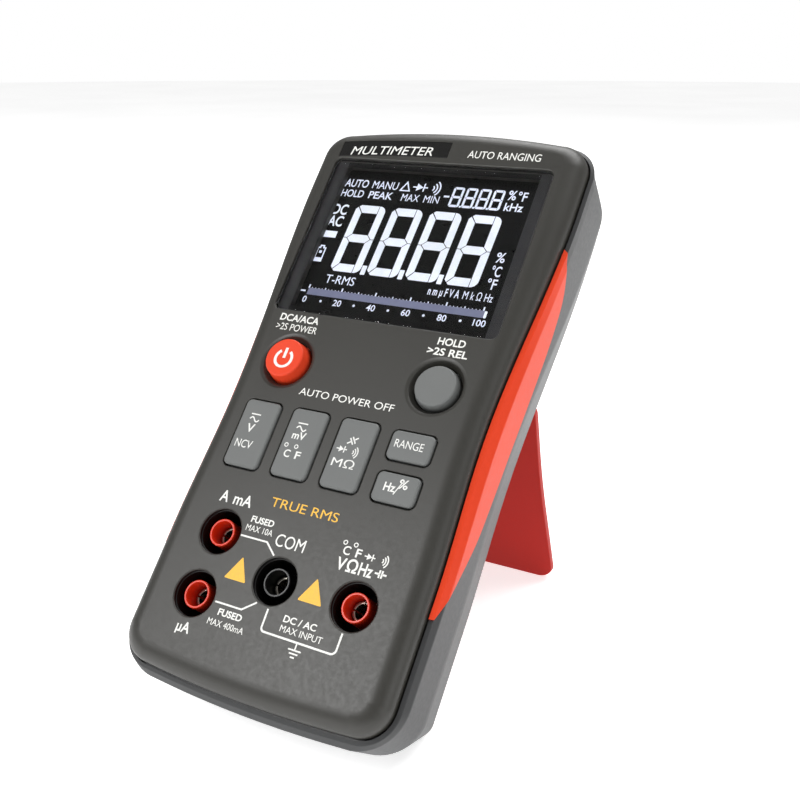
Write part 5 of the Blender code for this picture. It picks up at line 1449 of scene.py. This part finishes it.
# ================================================================ floor, light and camera
def pale_floor():
    """Plain pale flat floor disc."""
    floor_mat, nodes, links, shader = new_material("floor_pale")
    vector = coordinates(nodes, links)
    cloud = noise_node(nodes, links, vector, 3.0)
    links.new(between(nodes, links, cloud, (0.86, 0.86, 0.86, 1.0), (0.9, 0.9, 0.9, 1.0)),
              shader.inputs["Base Color"])
    shader.inputs["Roughness"].default_value = 0.7
    shader.inputs["Specular IOR Level"].default_value = 0.2
    links.new(shader.inputs["Base Color"].links[0].from_socket, shader.inputs["Emission Color"])
    shader.inputs["Emission Strength"].default_value = 0.76
    bm = bmesh.new()
    reach, sides = 5.0, 64
    rings = []
    for r, z in ((0.01, 0.0), (reach * 0.5, 0.0), (reach, 0.0)):
        rings.append([bm.verts.new((r * math.cos(2 * math.pi * i / sides),
                                    r * math.sin(2 * math.pi * i / sides), z))
                      for i in range(sides)])
    bm.faces.new(rings[0])
    for low, high in zip(rings, rings[1:]):
        for i in range(sides):
            j = (i + 1) % sides
            bm.faces.new((low[i], high[i], high[j], low[j]))
    bmesh.ops.recalc_face_normals(bm, faces=bm.faces)
    mesh = bpy.data.meshes.new("floor")
    bm.to_mesh(mesh)
    bm.free()
    mesh.materials.append(floor_mat)
    floor = bpy.data.objects.new("floor", mesh)
    floor.location = (0.0, 0.0, -0.0001)
    bpy.context.scene.collection.objects.link(floor)


def soft_light(name, place, size, power, colour=(1.0, 1.0, 1.0), target=(0.0, 0.0, 0.065)):
    """Square soft light aimed at the meter."""
    data = bpy.data.lights.new(name, "AREA")
    data.shape = "RECTANGLE"
    data.size, data.size_y = size
    data.energy = power
    data.color = colour
    obj = bpy.data.objects.new(name, data)
    obj.location = place
    aim = Vector(target) - Vector(place)
    obj.rotation_euler = aim.to_track_quat("-Z", "Y").to_euler()
    bpy.context.scene.collection.objects.link(obj)
    return obj


SURROUND = 0.3                         # light that the bright surround gives the meter
LENS_MM = 46.04
VIEW_PLACE = Vector((135.56, -84.55, 216.69))      # camera, in the meter's own frame
VIEW_RIGHT = Vector((0.87168, 0.331333, -0.361099))
VIEW_UP = Vector((-0.161304, 0.88974, 0.427017))
VIEW_AWAY = Vector((0.46277, -0.313975, 0.829014))


def studio():
    """Camera, soft lights and a bright surround."""
    world = bpy.data.worlds.new("surround")
    world.use_nodes = True
    back = world.node_tree.nodes["Background"]
    back.inputs["Color"].default_value = (1.0, 1.0, 1.0, 1.0)
    back.inputs["Strength"].default_value = 1.0
    rays = world.node_tree.nodes.new("ShaderNodeLightPath")
    level = world.node_tree.nodes.new("ShaderNodeMapRange")
    level.inputs["To Min"].default_value = SURROUND
    level.inputs["To Max"].default_value = 1.0
    world.node_tree.links.new(rays.outputs["Is Camera Ray"], level.inputs["Value"])
    world.node_tree.links.new(level.outputs["Result"], back.inputs["Strength"])
    bpy.context.scene.world = world
    bpy.context.scene.view_settings.view_transform = "Standard"
    soft_light("key_light", (-0.5, -0.84, 0.76), (0.38, 0.38), 7.0)
    soft_light("side_light", (1.1, -0.5, 0.5), (0.5, 0.7), 2.6)
    soft_light("top_light", (0.1, 0.7, 1.2), (1.6, 0.9), 22.0)
    data = bpy.data.cameras.new("view")
    data.lens = LENS_MM
    data.sensor_width = 36.0
    data.clip_start = 0.01
    data.clip_end = 50.0
    camera = bpy.data.objects.new("view", data)
    turn = METER.to_3x3().normalized()
    right = turn @ VIEW_RIGHT
    up = turn @ VIEW_UP
    away = turn @ VIEW_AWAY
    look = Matrix((right, up, away)).transposed().to_4x4()
    camera.matrix_world = Matrix.Translation(METER @ VIEW_PLACE) @ look
    bpy.context.scene.collection.objects.link(camera)
    bpy.context.scene.camera = camera


# ================================================================ assembly
pale_floor()
studio()
hidden_finishes()
# the second material is painted shade inside the socket wells
piece("front_shell", front_shell(), [front_plastic, well_shade_paint], "meter", ["front_case"],
      sharp=28, pick=pick_well_shade)
piece("rear_shell", rear_shell(), rear_plastic, "meter", ["rear_case"],
      sharp=30)
piece("side_grip_left", side_grip(-1.0), grip_plastic, "meter", ["grip_left"],
      sharp=26, bevel=0.2)
piece("side_grip_right", side_grip(1.0), grip_plastic, "meter", ["grip_right"],
      sharp=26, bevel=0.2)
keys()
socket_parts()
window_parts()
display_content()
face_prints()
stand()
battery_door()
screws()
